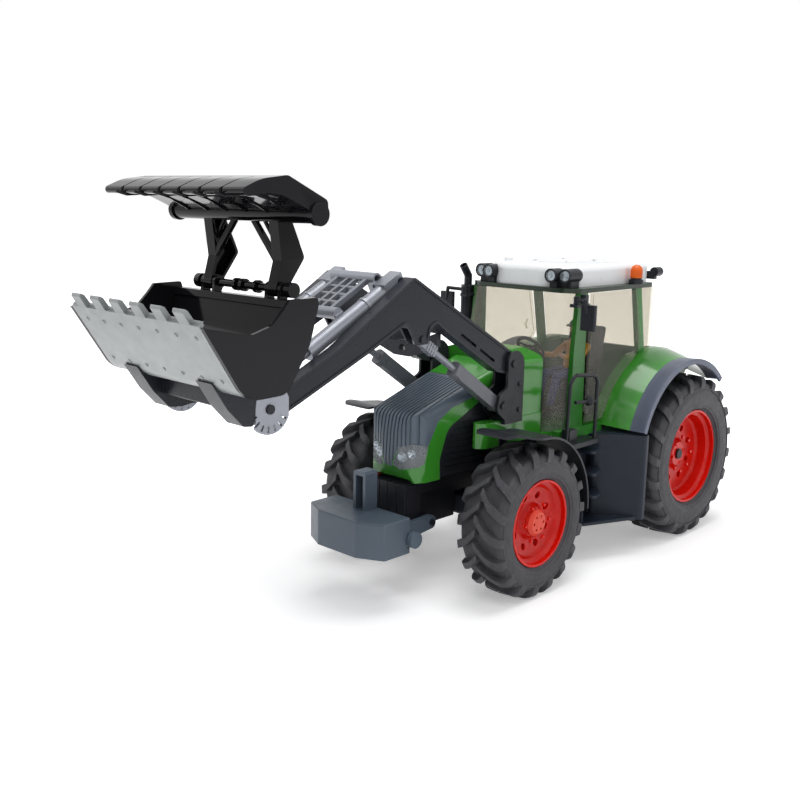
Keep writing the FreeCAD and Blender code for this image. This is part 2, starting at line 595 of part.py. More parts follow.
def screen_ring(z, nose, rim_x, back, skin):
    return outline([(-rim_x + skin, back), (-rim_x + skin, CAB_FRONT - 0.2 - skin * 0.3, 2),
                    (-38.5 + skin, nose - skin, 8), (38.5 - skin, nose - skin, 8),
                    (rim_x - skin, CAB_FRONT - 0.2 - skin * 0.3, 2), (rim_x - skin, back)],
                   lambda x, f: at(x, f, z))


def screen_body(skin, back):
    rings = [screen_ring(SILL_Z + 2 - skin, 134.0, CAB_HALF - 3.2, back, skin),
             screen_ring(SCREEN_KNEE_Z, 133.4, CAB_HALF - 3.2, back, skin),
             screen_ring(ROOF_Z - 3.2 + skin, 121.0, CAB_HALF - 3.2, back, skin)]
    return Part.makeLoft(rings, True, True)


windscreen = screen_body(0.0, CAB_FRONT - 8.0).cut(screen_body(GLASS_T, CAB_FRONT - 12.0))
windscreen = windscreen.common(box(-60, 60, CAB_FRONT - 7, 150, SILL_Z + 2, ROOF_Z - 3.2))
rear_pane = join(
    box(-CAB_HALF + 3.2, CAB_HALF - 3.2, 8.0, 8.0 + GLASS_T, 143, ROOF_Z - 3.2),
    *both(side([(8, 142.5), (8, ROOF_Z - 3.2), (31, ROOF_Z - 3.2), (22, 142.5)],
               CAB_HALF - 3.2 - GLASS_T, CAB_HALF - 3.2)),
)
save("cab_windows", windscreen, rear_pane)

door_top = ROOF_Z - 3.5
FENDER_R = REAR_TYRE_R + FENDER_GAP
FENDER_CROWN = 8.0
DOOR_FOOT_DEG = 23.0


def fender_edge(degrees):
    """Place on the arc that the door's lower edge keeps above the fender."""
    radius = FENDER_R + FENDER_CROWN + 2 * GAP
    angle = math.radians(degrees)
    return FENDER_DF + radius * math.cos(angle), REAR_Z + FENDER_DZ + radius * math.sin(angle)


DOOR_IN = CAB_HALF + 0.8
door_outline = [
    (DOOR_HINGE_F - 0.5, SILL_Z + 6), (DOOR_HINGE_F - 0.5, door_top), (41.5, door_top, 3),
    (31.5, 150, 4), (35.0, 145.0, 2), *[fender_edge(degrees) for degrees in (66, 54, 42, 31)],
    (*fender_edge(DOOR_FOOT_DEG), 2),
]
door_pane = side(door_outline, DOOR_IN, DOOR_IN + GLASS_T)
door_edge = side(door_outline, DOOR_IN, DOOR_IN + GLASS_T + 0.8)
door_edge = door_edge.cut(inset(door_outline, DOOR_IN - 1, DOOR_IN + GLASS_T + 2, 1.6))
hinges = [rod((DOOR_IN + 0.9, DOOR_HINGE_F, z), (DOOR_IN + 0.9, DOOR_HINGE_F, z + 7), 1.5)
          for z in (SILL_Z + 14, door_top - 20)]
handle = join(box(DOOR_IN + GLASS_T - 0.2, DOOR_IN + GLASS_T + 2.2, 40, 42, 152, 160),
              cross_rod(41, 156, DOOR_IN, DOOR_IN + 3.6, 2.2))
door = join(door_pane, door_edge, *hinges, handle)
for name, shape in zip(("left", "right"), both(door)):
    save("door_" + name, shape)

# --- inside the cab ---------------------------------------------------------------
dash = join(
    side([(118, SILL_Z + 2), (118, 128, 4), (110, 143, 5), (124, 152, 4), (131.5, 150, 3),
          (131.5, SILL_Z + 2)], -20, 20),
    rod((0, 112, 140), (0, 104.85, 146.6), 2.4),
)
save("dashboard", dash)
column = (0, 103.5, 147.85)
wheel_axis = (at(0, 105.5, 146) - at(0, 112, 140)).normalize()
wheel_mid = at(*column)
ring_wheel = Part.makeTorus(10.5, 1.2, wheel_mid, wheel_axis)
spokes = []
for i in range(3):
    spoke = Part.makeCylinder(0.9, 10.5, wheel_mid, Vector(1, 0, 0))
    spoke.rotate(wheel_mid, wheel_axis, 90 + 120 * i)
    spokes.append(spoke)
boss = Part.makeCylinder(2.6, 2.2, wheel_mid - wheel_axis * 1.5, wheel_axis)
save("steering_wheel", join(ring_wheel, boss, *spokes))
seat_base = box(-13, 13, 38, 66, SILL_Z + 2, 108.0)
seat_cushion = side([(32, 108), (32, 118, 4), (71, 118, 5), (72, 108)], -15, 15)
seat_back = side([(33, 118), (24, 158, 2.5), (31, 160, 2.5), (41, 118)], -14, 14)
seat = Part.makeCompound([seat_base, seat_cushion, seat_back])
save("seat", seat)
torso = side([(40.5, 121), (36.5, 147, 5), (49, 149, 5), (56, 121, 3)], -9.5, 9.5)
driver = join(
    torso,
    rod((0, 43, 146), (0, 44, 153), 3.2),
    ball(0, 44.5, 158.5, 6.6),
    rod((0, 44.5, 161.5), (0, 45.5, 165.6), 6.4),
    box(-5, 5, 48, 54.5, 161.2, 162.6),
    *both(rod((10.5, 43, 144), (12.5, 58, 136), 2.8)),
    *both(rod((12.5, 58, 136), (9.0, 78, 140), 2.4)),
    *both(ball(10.5, 43, 144, 3.2)),
    *both(ball(12.5, 58, 136, 2.8)),
    *both(rod((5.2, 46, 124.2), (6, 76, 124.2), 4.0)),
    *both(ball(6, 76, 124.2, 4.0)),
    *both(rod((6, 76, 124.2), (6, 84, 101), 3.2)),
    *both(box(2.8, 9.2, 80, 92, SILL_Z + 2.3, 101)),
)
save("driver", driver)

# --- fittings on the cab ------------------------------------------------------------
LAMP_Z = 203.4
lamp_pods = []
lamp_lenses = []
for x, f1 in ((28.0, 122.0), (37.6, 118.5)):
    pod = join(rod((x, f1 - 14, LAMP_Z), (x, f1, LAMP_Z), 4.9), ball(x, f1 - 14, LAMP_Z, 4.9),
               box(x - 3, x + 3, f1 - 14, f1 - 4, ROOF_Z, LAMP_Z - 2))
    lamp_pods.append(pod.cut(rod((x, f1 - 1.6, LAMP_Z), (x, f1 + 1, LAMP_Z), 3.9)))
    lamp_lenses.append(rod((x, f1 - 1.6, LAMP_Z), (x, f1 - 0.3, LAMP_Z), 3.9 - RUN))
pod_pair = join(*lamp_pods, box(28, 37.6, 106, 115, ROOF_Z, LAMP_Z + 2))
pod_pair = pod_pair.cut(roof)
rear_lamp = join(rod((42.5, 6.5, 202.5), (42.5, -1.5, 202.5), 3.6), box(37, 43.5, 3.5, 7.5, ROOF_Z + 2, 203))
rear_lamp = rear_lamp.cut([roof, rod((42.5, -2, 202.5), (42.5, -0.6, 202.5), 2.9)])
lamp_lenses.append(rod((42.5, -1.2, 202.5), (42.5, -0.6, 202.5), 2.9 - RUN))
BEACON_X, BEACON_F = 45.6, 37.0
beacon_base = join(rod((BEACON_X, BEACON_F, ROOF_Z), (BEACON_X, BEACON_F, ROOF_Z + 3.2), 5.4),
                   rod((BEACON_X, BEACON_F, ROOF_Z + 3), (BEACON_X, BEACON_F, ROOF_Z + 4.4), 4.2))
save("lamp_housings", *both(pod_pair), *both(rear_lamp), beacon_base)
save("work_light_lenses", *[s for shape in lamp_lenses for s in both(shape)])
dome_z = ROOF_Z + 4.4
dome = rod((BEACON_X, BEACON_F, dome_z), (BEACON_X, BEACON_F, dome_z + 5.4), 4.4)
dome = join(dome, ball(BEACON_X, BEACON_F, dome_z + 5.4, 4.4))
save("beacon_dome", dome.common(box(30, 60, 20, 50, dome_z, dome_z + 20)))

MIRROR_AXIS = (50.5, 121.0)
bracket_z = 188.0
mirror_arm = join(
    rod((*MIRROR_AXIS, bracket_z - 2.5), (*MIRROR_AXIS, bracket_z + 2.5), 2.2),
    rod((*MIRROR_AXIS, bracket_z), (61.5, 127.5, bracket_z + 1), 1.3),
    rod((61.5, 127.5, bracket_z + 1), (63.5, 126.5, bracket_z - 8), 1.3),
    ball(61.5, 127.5, bracket_z + 1, 1.3),
    plan([(57.5, 123.2, 1.2), (57.5, 126.8, 1.2), (69.5, 127.4, 1.2), (69.5, 123.8, 1.2)], 168.5, 186.0),
)
for name, shape in zip(("left", "right"), both(mirror_arm)):
    save("mirror_" + name, shape)
mirror_foot = join(box(CAB_HALF - 0.5, MIRROR_AXIS[0] + 2.2, 108, MIRROR_AXIS[1] + 2.4, bracket_z - 5.0,
                       bracket_z - 2.5 - GAP),
                   box(CAB_HALF + 0.5, MIRROR_AXIS[0] + 1, 108, 112, bracket_z - 5, bracket_z + 3))
mirror_foot = mirror_foot.cut(both(join(front_post, sill)))
STACK_X, STACK_F = 54.0, 113.0
MUFFLER_R, MUFFLER_TOP = 5.2, 191.0
PIPE_R = 3.0
bend = (-STACK_X, STACK_F, 198.0)
mouth_end = (-STACK_X, STACK_F + 6.0, 206.0)
stack = join(
    rod((-STACK_X, STACK_F, SILL_Z + 6), (-STACK_X, STACK_F, MUFFLER_TOP), MUFFLER_R),
    rod((-STACK_X, STACK_F, MUFFLER_TOP - 1), (-STACK_X, STACK_F, bend[2] + 1.0), PIPE_R),
    box(-STACK_X, -CAB_HALF - 0.5, STACK_F - 3, STACK_F + 3, SILL_Z + 8, SILL_Z + 14),
    box(-STACK_X, -CAB_HALF - 0.5, STACK_F - 3, STACK_F + 3, 160, 164),
)
tail_bore = rod((-STACK_X, STACK_F + 3, 202), (-STACK_X, STACK_F + 9, 210), 2.2)
tail_pipe = rod(bend, mouth_end, PIPE_R).cut(tail_bore)
save("exhaust", stack, tail_pipe.cut(stack))
stack_room = rod((-STACK_X, STACK_F, SILL_Z), (-STACK_X, STACK_F, MUFFLER_TOP + 1), MUFFLER_R + GAP)
RAIL_X = 60.0
rail_f0, rail_f1, rail_top = 104.5, 137.5, 136.0
PLATFORM_Z = SILL_Z - 3.4


def bent_rail(points, radius):
    pieces = [rod(a, b, radius) for a, b in zip(points[:-1], points[1:])]
    return join(*pieces, *[ball(*p, radius) for p in points[1:-1]])


grab = bent_rail([(RAIL_X, rail_f0, PLATFORM_Z), (RAIL_X, rail_f0, rail_top - 5),
                  (RAIL_X, rail_f0 + 2, rail_top - 1.5), (RAIL_X, rail_f0 + 7, rail_top),
                  (RAIL_X, rail_f1 - 7, rail_top + 2), (RAIL_X, rail_f1 - 3, rail_top),
                  (RAIL_X, rail_f1, rail_top - 4), (RAIL_X, rail_f1 + 2, PLATFORM_Z)], 1.3)
grab = join(grab, rod((RAIL_X, rail_f0, 117), (RAIL_X, rail_f0 + 26, 119), 1.2),
            ball(RAIL_X, rail_f0 + 9, 117.8, 3.4),
            plan([(CAB_HALF + 2.4, rail_f0 - 3), (CAB_HALF + 2.4, rail_f1 + 3), (RAIL_X + 2.5, rail_f1 + 3, 2),
                  (RAIL_X + 2.5, rail_f0 - 3, 2)], PLATFORM_Z - 3, PLATFORM_Z + 0.4),
            box(CAB_HALF + 3.4, CAB_HALF + 10, rail_f0 + 17.5, rail_f0 + 26.5, PLATFORM_Z, PLATFORM_Z + 9))
save("handrails", grab, mirrored(grab).cut(stack_room), mirror_foot,
     mirrored(mirror_foot).cut(stack_room))

# --- rear fenders, tanks, steps and hitch ----------------------------------------------
FENDER_A0, FENDER_A1 = 19.0, 134.0
FENDER_SPLIT = 70.5


def sector(x, inner, outer, start, end):
    """Closed ring-sector wire round the rear axle at one x."""
    def spot(radius, degrees):
        angle = math.radians(degrees)
        return at(x, FENDER_DF + radius * math.cos(angle), REAR_Z + FENDER_DZ + radius * math.sin(angle))
    middle = (start + end) / 2
    return Part.Wire([
        Part.Arc(spot(outer, start), spot(outer, middle), spot(outer, end)).toShape(),
        Part.makeLine(spot(outer, end), spot(inner, end)),
        Part.Arc(spot(inner, end), spot(inner, middle), spot(inner, start)).toShape(),
        Part.makeLine(spot(inner, start), spot(outer, start)),
    ])


def fender_skin(x0, r0, x1, r1, thick):
    return Part.makeLoft([sector(x0, r0 - thick, r0, FENDER_A0, FENDER_A1),
                          sector(x1, r1 - thick, r1, FENDER_A0, FENDER_A1)], True, True)


crown_r = FENDER_R + FENDER_CROWN
fender = join(
    fender_skin(FENDER_IN, crown_r, FENDER_SPLIT, FENDER_R + FENDER_T, FENDER_T),
    Part.Face(sector(FENDER_IN - 1.6, FENDER_R - 2, crown_r, FENDER_A0, FENDER_A1)).extrude(
        Vector(1.6, 0, 0)),
    Part.Face(sector(TUB_HALF, crown_r - FENDER_T, crown_r, FENDER_A0, FENDER_A1)).extrude(
        Vector(FENDER_IN - TUB_HALF, 0, 0)),
)
fender = fender.cut([cab_frame, tub, rear_pane])
save("rear_fenders", *both(fender))
flare = join(
    fender_skin(FENDER_SPLIT, FENDER_R + FENDER_T, FENDER_OUT - 1.5, FENDER_R + FENDER_T + 0.6, FENDER_T),
    Part.Face(sector(FENDER_OUT - 1.8, FENDER_R - 1.5, FENDER_R + FENDER_T + 0.6, FENDER_A0, FENDER_A1))
    .extrude(Vector(1.8, 0, 0)),
)
save("fender_flares", *both(flare))
TANK_TOP = REAR_Z + FENDER_DZ + FENDER_R * math.sin(math.radians(FENDER_A0)) - 2.0
TANK_BACK = 66.0
tank = plan([(46, TANK_BACK), (FENDER_OUT - 0.5, TANK_BACK, 2), (FENDER_OUT - 0.5, 71, 3), (53, 94, 6),
             (46, 94)], 27, TANK_TOP)
footboard = plan([(45, TANK_BACK + 2), (FENDER_OUT - 4, TANK_BACK + 2, 3), (FENDER_OUT - 4, 76, 6),
                  (62, 117, 4), (45, 119)], 27.4, 29.6)
ladder_cheek = plan([(46.4, 115.5), (60.8, 114.2, 0.8), (61.6, 116.6, 0.8), (46.4, 118.4)], 28.6, 48)
backing = box(44, 47.4, TANK_BACK + 4, 120, 34, SILL_Z - 4.5)
treads = [plan([(47, 87), (56, 90), (60.5 + 2.5 * i, 97 + 2 * i, 1.5), (66 + i, 112, 3), (47, 116)],
               z, z + 1.8)
          for i, z in enumerate((80, 64, 48))]
tank = join(join(tank, footboard), ladder_cheek, backing, *treads)
save("tank_panels", *both(tank.cut(cab_frame)))
hitch_bore = 3.2
drawbar = join(
    plan([(-8, -8), (8, -8), (8, -24, 3), (6, -34, 5), (-6, -34, 5), (-8, -24, 3)], 40, 45),
    box(-12, 12, -12, 6, 40, 58),
)
drawbar = drawbar.cut(rod((0, -27, 38), (0, -27, 47), hitch_bore))
save("drawbar", drawbar.cut([gearbox, rear_axle, main_frame]))

# --- loader consoles -----------------------------------------------------------------
PIVOT = (BOOM_F, PIVOT_Z)
LIFT_BASE = boom(LIFT_BASE_DF, LIFT_BASE_DZ)
CHEEK_IN = ARM_IN - GAP - CHEEK_T
CHEEK_OUT = ARM_OUT + GAP
cheek = [(BOOM_F - 11, PIVOT_Z - 37), (BOOM_F - 10.5, PIVOT_Z + 4, 5), (BOOM_F - 4, PIVOT_Z + 9, 6),
         (BOOM_F + 6, PIVOT_Z + 7, 6), (BOOM_F + 6, PIVOT_Z - 15, 3), (BOOM_F + 14, PIVOT_Z - 19, 4),
         (BOOM_F + 17, PIVOT_Z - 30, 5), (BOOM_F + 8, PIVOT_Z - 37)]
console = join(
    side(cheek, CHEEK_IN, CHEEK_IN + CHEEK_T),
    side(cheek, CHEEK_OUT, CHEEK_OUT + CHEEK_T),
    box(CHEEK_IN, CHEEK_OUT + CHEEK_T, BOOM_F - 11, BOOM_F - 8.4, PIVOT_Z - 37, PIVOT_Z + 1),
    box(CHEEK_IN, CHEEK_OUT + CHEEK_T, BOOM_F - 11, BOOM_F + 8, PIVOT_Z - 40, PIVOT_Z - 35),
    cross_rod(*PIVOT, CHEEK_IN, CHEEK_OUT + CHEEK_T + 1.0, PIN_R),
    cross_rod(*LIFT_BASE, CHEEK_IN, CHEEK_OUT + CHEEK_T + 1.0, PIN_R - 0.6),
    side([(BOOM_F - 11, 66.5), (BOOM_F - 11, PIVOT_Z - 38), (BOOM_F + 8, PIVOT_Z - 38), (BOOM_F + 4, 66.5)],
         CHEEK_IN + 1.0, CHEEK_IN + 6),
    box(15, CHEEK_IN + 6, BOOM_F - 10, BOOM_F + 3, 66.5, 73.8),
    box(CHEEK_IN + 5.8, CHEEK_IN + 7.6, BOOM_F - 4, BOOM_F + 1, 98, 103),
)
save("loader_consoles", *both(console))
save("cowl", cowl.cut([cowl_void, *both(console)]))

# --- boom ------------------------------------------------------------------------
arm_outline = [
    (*boom(-6.2, -1.0), 5.0), (*boom(-2.6, 6.6), 4.0),
    (*KNEE, 2.5), (*boom(156.0, 24.4), 30), (*tip(-8.5, 7.2), 6.0), (*tip(6.9, 6.6), 6.6),
    (*tip(6.9, -6.9), 6.6),
    (*tip(-5.5, -7.4), 6.0), (*boom(133.0, 19.4), 20), (*boom(101.5, 34.2), 3.0), (*boom(92.6, 20.6), 2.0),
    (*boom(82.8, 20.6), 2.0), (*boom(80.0, 30.0), 1.5), (*boom(74.8, 32.6), 3.0), (*boom(66.0, 26.4), 3.0),
    (*boom(15.0, -3.9), 3.0), (*boom(3.0, -6.8), 5.0),
]
arm = side(arm_outline, ARM_IN, ARM_OUT)
pocket = inset(arm_outline, ARM_OUT - 0.7, ARM_OUT + 1, 1.7)
arm = arm.cut(pocket)
slot_ends = ((18.0, 2.6, 33.0, 11.6), (37.0, 14.0, 52.0, 22.9))
for df0, dz0, df1, dz1 in slot_ends:
    slot = side([boom(df0, dz0), boom(df1, dz1), boom(df1 - 0.8, dz1 + 1.6), boom(df0 - 0.8, dz0 + 1.6)],
                ARM_OUT - 3.0, ARM_OUT + 1)
    arm = arm.cut(slot)
LIFT_LUG = boom(LIFT_LUG_DF, LIFT_LUG_DZ)
arm = arm.cut(side([boom(70, 12), boom(101, 12), (*boom(101, 31.5), 3), (*boom(79, 31.5), 3)],
                   LIFT_X - 2.4 - GAP, LIFT_X + 2.2 + GAP))
arm = arm.cut([cross_rod(*PIVOT, 0, 60, PIN_R + RUN), cross_rod(*TIP, 0, 60, PIN_R + RUN)])
lug_caps = cross_rod(*LIFT_LUG, ARM_OUT - 0.8, ARM_OUT + 0.4, 2.4)
save("boom_arms", *both(join(arm, lug_caps)))
TILT_HEAD = boom(TILT_HEAD_DF, TILT_HEAD_DZ)
vee = front([(-ARM_IN, PIVOT_Z + 25), (-ARM_IN, PIVOT_Z + 15, 3), (-7, PIVOT_Z + 7.5, 4),
             (7, PIVOT_Z + 7.5, 4), (ARM_IN, PIVOT_Z + 15, 3), (ARM_IN, PIVOT_Z + 25),
             (11, PIVOT_Z + 17.5, 6), (-11, PIVOT_Z + 17.5, 6)],
            BOOM_F + 62.0, BOOM_F + 66.0)
vee = vee.cut(rod((0, BOOM_F + 60, PIVOT_Z + 12.4), (0, BOOM_F + 68, PIVOT_Z + 12.4), 2.6))
cross_plate = side([boom(56, 23.0), boom(70, 31.0), boom(69.0, 32.8), boom(55, 24.8)], -ARM_IN, ARM_IN)
knee_shaft = cross_rod(*TILT_HEAD, -ARM_IN, ARM_IN, 2.4)
save("boom_cross_members", join(vee, cross_plate), knee_shaft)

# --- lift cylinders -----------------------------------------------------------------
lift_share = along(LIFT_BASE, LIFT_LUG, LIFT_TUBE_L)
lift_tube_start = along(LIFT_BASE, LIFT_LUG, 4.4)
lift_mouth = along(LIFT_BASE, LIFT_LUG, LIFT_TUBE_L - 5)
lift_flat = 3.6


def bar_between(start, end, x0, x1, low, high):
    """Rectangular bar along a side-view line, spanning low..high across it."""
    length = math.hypot(end[0] - start[0], end[1] - start[1])
    nf, nz = -(end[1] - start[1]) / length, (end[0] - start[0]) / length
    return side([(start[0] + nf * low, start[1] + nz * low), (end[0] + nf * low, end[1] + nz * low),
                 (end[0] + nf * high, end[1] + nz * high),
                 (start[0] + nf * high, start[1] + nz * high)], x0, x1)


lift_bore = rod((LIFT_X, *along(LIFT_BASE, LIFT_LUG, 8)), (LIFT_X, *along(LIFT_BASE, LIFT_LUG, 200)),
                LIFT_ROD_R + RUN)
lift_tube = join(
    bar_between(lift_tube_start, lift_share, LIFT_X - lift_flat, LIFT_X + lift_flat,
                -LIFT_TUBE_R, LIFT_TUBE_R),
    rod((LIFT_X, *lift_mouth), (LIFT_X, *lift_share), 5.4).common(
        box(LIFT_X - lift_flat - 0.4, LIFT_X + lift_flat + 0.4, 0, 400, 0, 400)),
    cross_rod(*LIFT_BASE, LIFT_X - 3.4, LIFT_X + 3.4, 4.6),
)
lift_tube = lift_tube.cut([lift_bore, cross_rod(*LIFT_BASE, 0, 60, PIN_R - 0.6 + RUN)])
save("lift_tubes", *both(lift_tube))
rod_inner = along(LIFT_BASE, LIFT_LUG, 30.0)
clevis_start = along(LIFT_BASE, LIFT_LUG, LIFT_TUBE_L + 22)
ribs = [bar_between(along(LIFT_BASE, LIFT_LUG, LIFT_TUBE_L + 23 + 2.4 * i),
                    along(LIFT_BASE, LIFT_LUG, LIFT_TUBE_L + 24.2 + 2.4 * i),
                    LIFT_X - 2.6, LIFT_X + 2.4, -3.4, 3.4) for i in range(4)]
lift_rod = join(
    rod((LIFT_X, *rod_inner), (LIFT_X, *LIFT_LUG), LIFT_ROD_R),
    bar_between(clevis_start, LIFT_LUG, LIFT_X - 2.1, LIFT_X + 1.9, -2.9, 2.9),
    *ribs,
    cross_rod(*LIFT_LUG, LIFT_X - 2.1, LIFT_X + 1.9, 3.6),
)
save("lift_rods", *both(lift_rod))

# --- tilt cylinders with their ladder --------------------------------------------------
TILT_LUG = tip(TILT_LUG_DF, TILT_LUG_DZ)
tilt_tube_end = along(TILT_HEAD, TILT_LUG, TILT_TUBE_L)
head_start = along(TILT_HEAD, TILT_LUG, -3.0)
head_end = along(TILT_HEAD, TILT_LUG, 13.0)
tilt_tube = join(
    rod((TILT_X, *along(TILT_HEAD, TILT_LUG, 8)), (TILT_X, *tilt_tube_end), TILT_TUBE_R),
    rod((TILT_X, *along(TILT_HEAD, TILT_LUG, 27)), (TILT_X, *along(TILT_HEAD, TILT_LUG, 29)), TILT_TUBE_R + 0.5),
    bar_between(head_start, head_end, TILT_X - 4.6, TILT_X + 4.7, -4.6, 5.2),
)
tilt_tube = tilt_tube.cut([
    rod((TILT_X, *along(TILT_HEAD, TILT_LUG, 16)), (TILT_X, *along(TILT_HEAD, TILT_LUG, 200)), TILT_ROD_R + RUN),
    cross_rod(*TILT_HEAD, 0, 60, 2.4 + RUN),
])
save("tilt_tubes", *both(tilt_tube))
rear_tube = along(TILT_HEAD, TILT_LUG, 7.5)
front_tube = along(TILT_HEAD, TILT_LUG, 45.0)
lift_n = (math.sin(math.atan2(TILT_HEAD[1] - TILT_LUG[1], TILT_LUG[0] - TILT_HEAD[0])),
          math.cos(math.atan2(TILT_HEAD[1] - TILT_LUG[1], TILT_LUG[0] - TILT_HEAD[0])))


def raised(place, height):
    return (place[0] + lift_n[0] * height, place[1] + lift_n[1] * height)


ladder_rear, ladder_front = raised(rear_tube, 5.6), raised(front_tube, 5.0)
ladder = [
    cross_rod(*ladder_rear, -TILT_X + 5.5, TILT_X - 5.5, 3.6),
    cross_rod(*ladder_front, -TILT_X + 3.6, TILT_X - 3.6, 3.4),
    *both(bar_between(ladder_rear, ladder_front, 11.0, 13.6, -1.6, 1.6)),
    *both(bar_between(ladder_rear, ladder_front, 2.4, 4.4, -1.2, 1.2)),
    *both(bar_between(raised(rear_tube, 3.0), raised(along(TILT_HEAD, TILT_LUG, 14), 3.0),
                      TILT_X - 8, TILT_X - 4, -2.6, 2.6)),
    *both(bar_between(raised(along(TILT_HEAD, TILT_LUG, 42), 3.2), raised(along(TILT_HEAD, TILT_LUG, 48), 3.2),
                      TILT_X - 6, TILT_X - 2.4, -2.0, 2.0)),
]
for share in (18.0, 26.0, 34.0):
    spot = raised(along(TILT_HEAD, TILT_LUG, share), 5.2)
    ladder.append(bar_between(spot, along(spot, TILT_LUG, 1.8), -13, 13, -1.0, 1.0))
ladder = join(*ladder)
ladder = ladder.cut([cross_rod(*ladder_rear, -40, 40, 2.3), *both(tilt_tube)])
save("tilt_ladder", ladder)
tilt_rod = join(
    rod((TILT_X, *along(TILT_HEAD, TILT_LUG, 52)), (TILT_X, *TILT_LUG), TILT_ROD_R),
    cross_rod(*TILT_LUG, TILT_X - 1.9, TILT_X + 1.9, 3.6),
)
save("tilt_rods", *both(tilt_rod))

# --- bucket ----------------------------------------------------------------------
lip_dir = (math.cos(FLOOR_SLOPE), math.sin(FLOOR_SLOPE))
floor_run = 45.0
side_outline = [
    tip(LIP_DF, LIP_DZ), (*tip(LIP_DF - lip_dir[0] * floor_run, LIP_DZ - lip_dir[1] * floor_run), 15),
    (*tip(5.6, 11.6), 9), (*tip(-9.3, 35.2), 24), (*tip(-15.2, 55.5), 3), (*tip(-14.3, 58.9), 1.5),
    (*tip(3.6, 58.5), 1.5), (*tip(7.5, 54.0), 3), (*tip(15.0, 46.6), 8), (*tip(27.8, 43.0), 12),
]
bucket_side = side(side_outline, BUCKET_HALF - BUCKET_SIDE_T, BUCKET_HALF)
save("bucket_sides", *both(bucket_side))
sheet_outline = [
    tip(LIP_DF, LIP_DZ), (*tip(LIP_DF - lip_dir[0] * floor_run, LIP_DZ - lip_dir[1] * floor_run), 15),
    (*tip(5.6, 11.6), 9), (*tip(-9.3, 35.2), 24), tip(-16.6, 61.0), tip(45, 75),
]
inner_half = BUCKET_HALF - BUCKET_SIDE_T
sheet_block = inset(sheet_outline, -inner_half, inner_half, BUCKET_EDGE)
sheet_void = inset(sheet_outline, -inner_half - 1, inner_half + 1, BUCKET_EDGE + BUCKET_SHEET_T)
mouth = side([tip(LIP_DF - 1.2, LIP_DZ - 0.4), tip(60, 90), tip(-30, 90), tip(-30, 54.6), tip(-10, 54.6),
              tip(-2, 52), tip(44, 44)], -inner_half - 1, inner_half + 1)
bucket_sheet = sheet_block.cut([sheet_void, mouth])
top_band = side([tip(-14.6, 52), tip(-15.6, 55.8), tip(-10.4, 55.8), tip(-9.2, 52)], -inner_half, inner_half)
bucket_sheet = join(bucket_sheet, top_band)
jaw_ears = [join(cross_rod(*JAW, x, x + 2.4, 3.8),
                 side([jaw(-2.4, -2), jaw(3.6, -1), jaw(4.0, -6), jaw(-0.6, -6)], x, x + 2.4))
            for x in (LEG_X0 - GAP - 2.4, LEG_X1 + GAP)]
jaw_ears = [ear.cut(cross_rod(*JAW, -80, 80, JAW_SHAFT_R + RUN)) for ear in jaw_ears]
save("bucket_shell", join(bucket_sheet, *[side_ear for ear in jaw_ears for side_ear in both(ear)]))
plate_zone = side([tip(LIP_DF + 4, LIP_DZ), tip(LIP_DF - 10, LIP_DZ + 6), tip(26, 20), tip(32, 8), tip(50, 8)],
                  -60, 60)
wear_block = side(sheet_outline, -inner_half + 0.6, inner_half - 0.6).common(plate_zone)
wear = wear_block.cut(inset(sheet_outline, -60, 60, BUCKET_EDGE - 0.02))
up = (-lip_dir[1], lip_dir[0])


def lip_point(run, rise):
    return tip(LIP_DF + lip_dir[0] * run + up[0] * rise, LIP_DZ + lip_dir[1] * run + up[1] * rise)


teeth = []
for i in range(TEETH):
    x = (i - (TEETH - 1) / 2) * TOOTH_PITCH
    profile = [lip_point(-4.0, 0.02), lip_point(TOOTH_L - 1.5, 0.0), (*lip_point(TOOTH_L, 1.4), 0.6),
               lip_point(TOOTH_L - 2.2, TOOTH_T), lip_point(-0.2, TOOTH_T + 0.4), lip_point(-0.6, BUCKET_EDGE)]
    block = side(profile, x - TOOTH_W / 2, x + TOOTH_W / 2)
    teeth.append(block)
lip_bar = side([lip_point(-3.5, 0.0), lip_point(0.6, 0.0), lip_point(0.2, TOOTH_T), lip_point(-0.8, TOOTH_T),
                lip_point(-1.1, BUCKET_EDGE), lip_point(-3.5, BUCKET_EDGE)], -inner_half + 0.6, inner_half - 0.6)
save("wear_plate", join(wear, lip_bar, *teeth).cut(bucket_sheet))

# --- brackets, coupler discs and hinge lugs ------------------------------------------------
DISC_IN = ARM_OUT + GAP
bracket = [tip(36.5, 17.8), tip(27, 3.5), (*tip(17.2, -6.8), 2), (*tip(8.6, -7.6), 2), (*tip(-5.5, -5.5), 6),
           (*tip(TILT_LUG_DF - 3.4, TILT_LUG_DZ - 1.0), 3), (*tip(TILT_LUG_DF + 1, TILT_LUG_DZ + 3.8), 3),
           tip(-6, 24), tip(8, 18), tip(24, 14)]
inner_bracket = side(bracket, ARM_IN - GAP - 2.4, ARM_IN - GAP)
outer_bracket = side([tip(36.5, 17.8), tip(27, 3.5), (*tip(17.2, -6.8), 2), (*tip(10.6, -7.6), 2),
                      tip(9.0, 4), tip(9, 12), tip(24, 12)], ARM_IN - GAP - 2.4, DISC_IN + DISC_T)
bar = side([(*tip(8.8, 1.0), 1), (*tip(20.5, 1.0), 1), (*tip(20.5, 12.5), 1), (*tip(8.8, 12.5), 1)],
           -ARM_IN + 1, ARM_IN - 1)
lug = side([(*tip(TILT_LUG_DF - 3.4, TILT_LUG_DZ), 3), (*tip(TILT_LUG_DF + 1, TILT_LUG_DZ - 4), 3),
            tip(-1, 12), tip(-6, 26), tip(-9, 26)], TILT_X - 5.0, TILT_X - 2.7)
tilt_pin = cross_rod(*TILT_LUG, TILT_X - 6.0, TILT_X - 2.7, 1.6)
half_bracket = join(inner_bracket, outer_bracket)
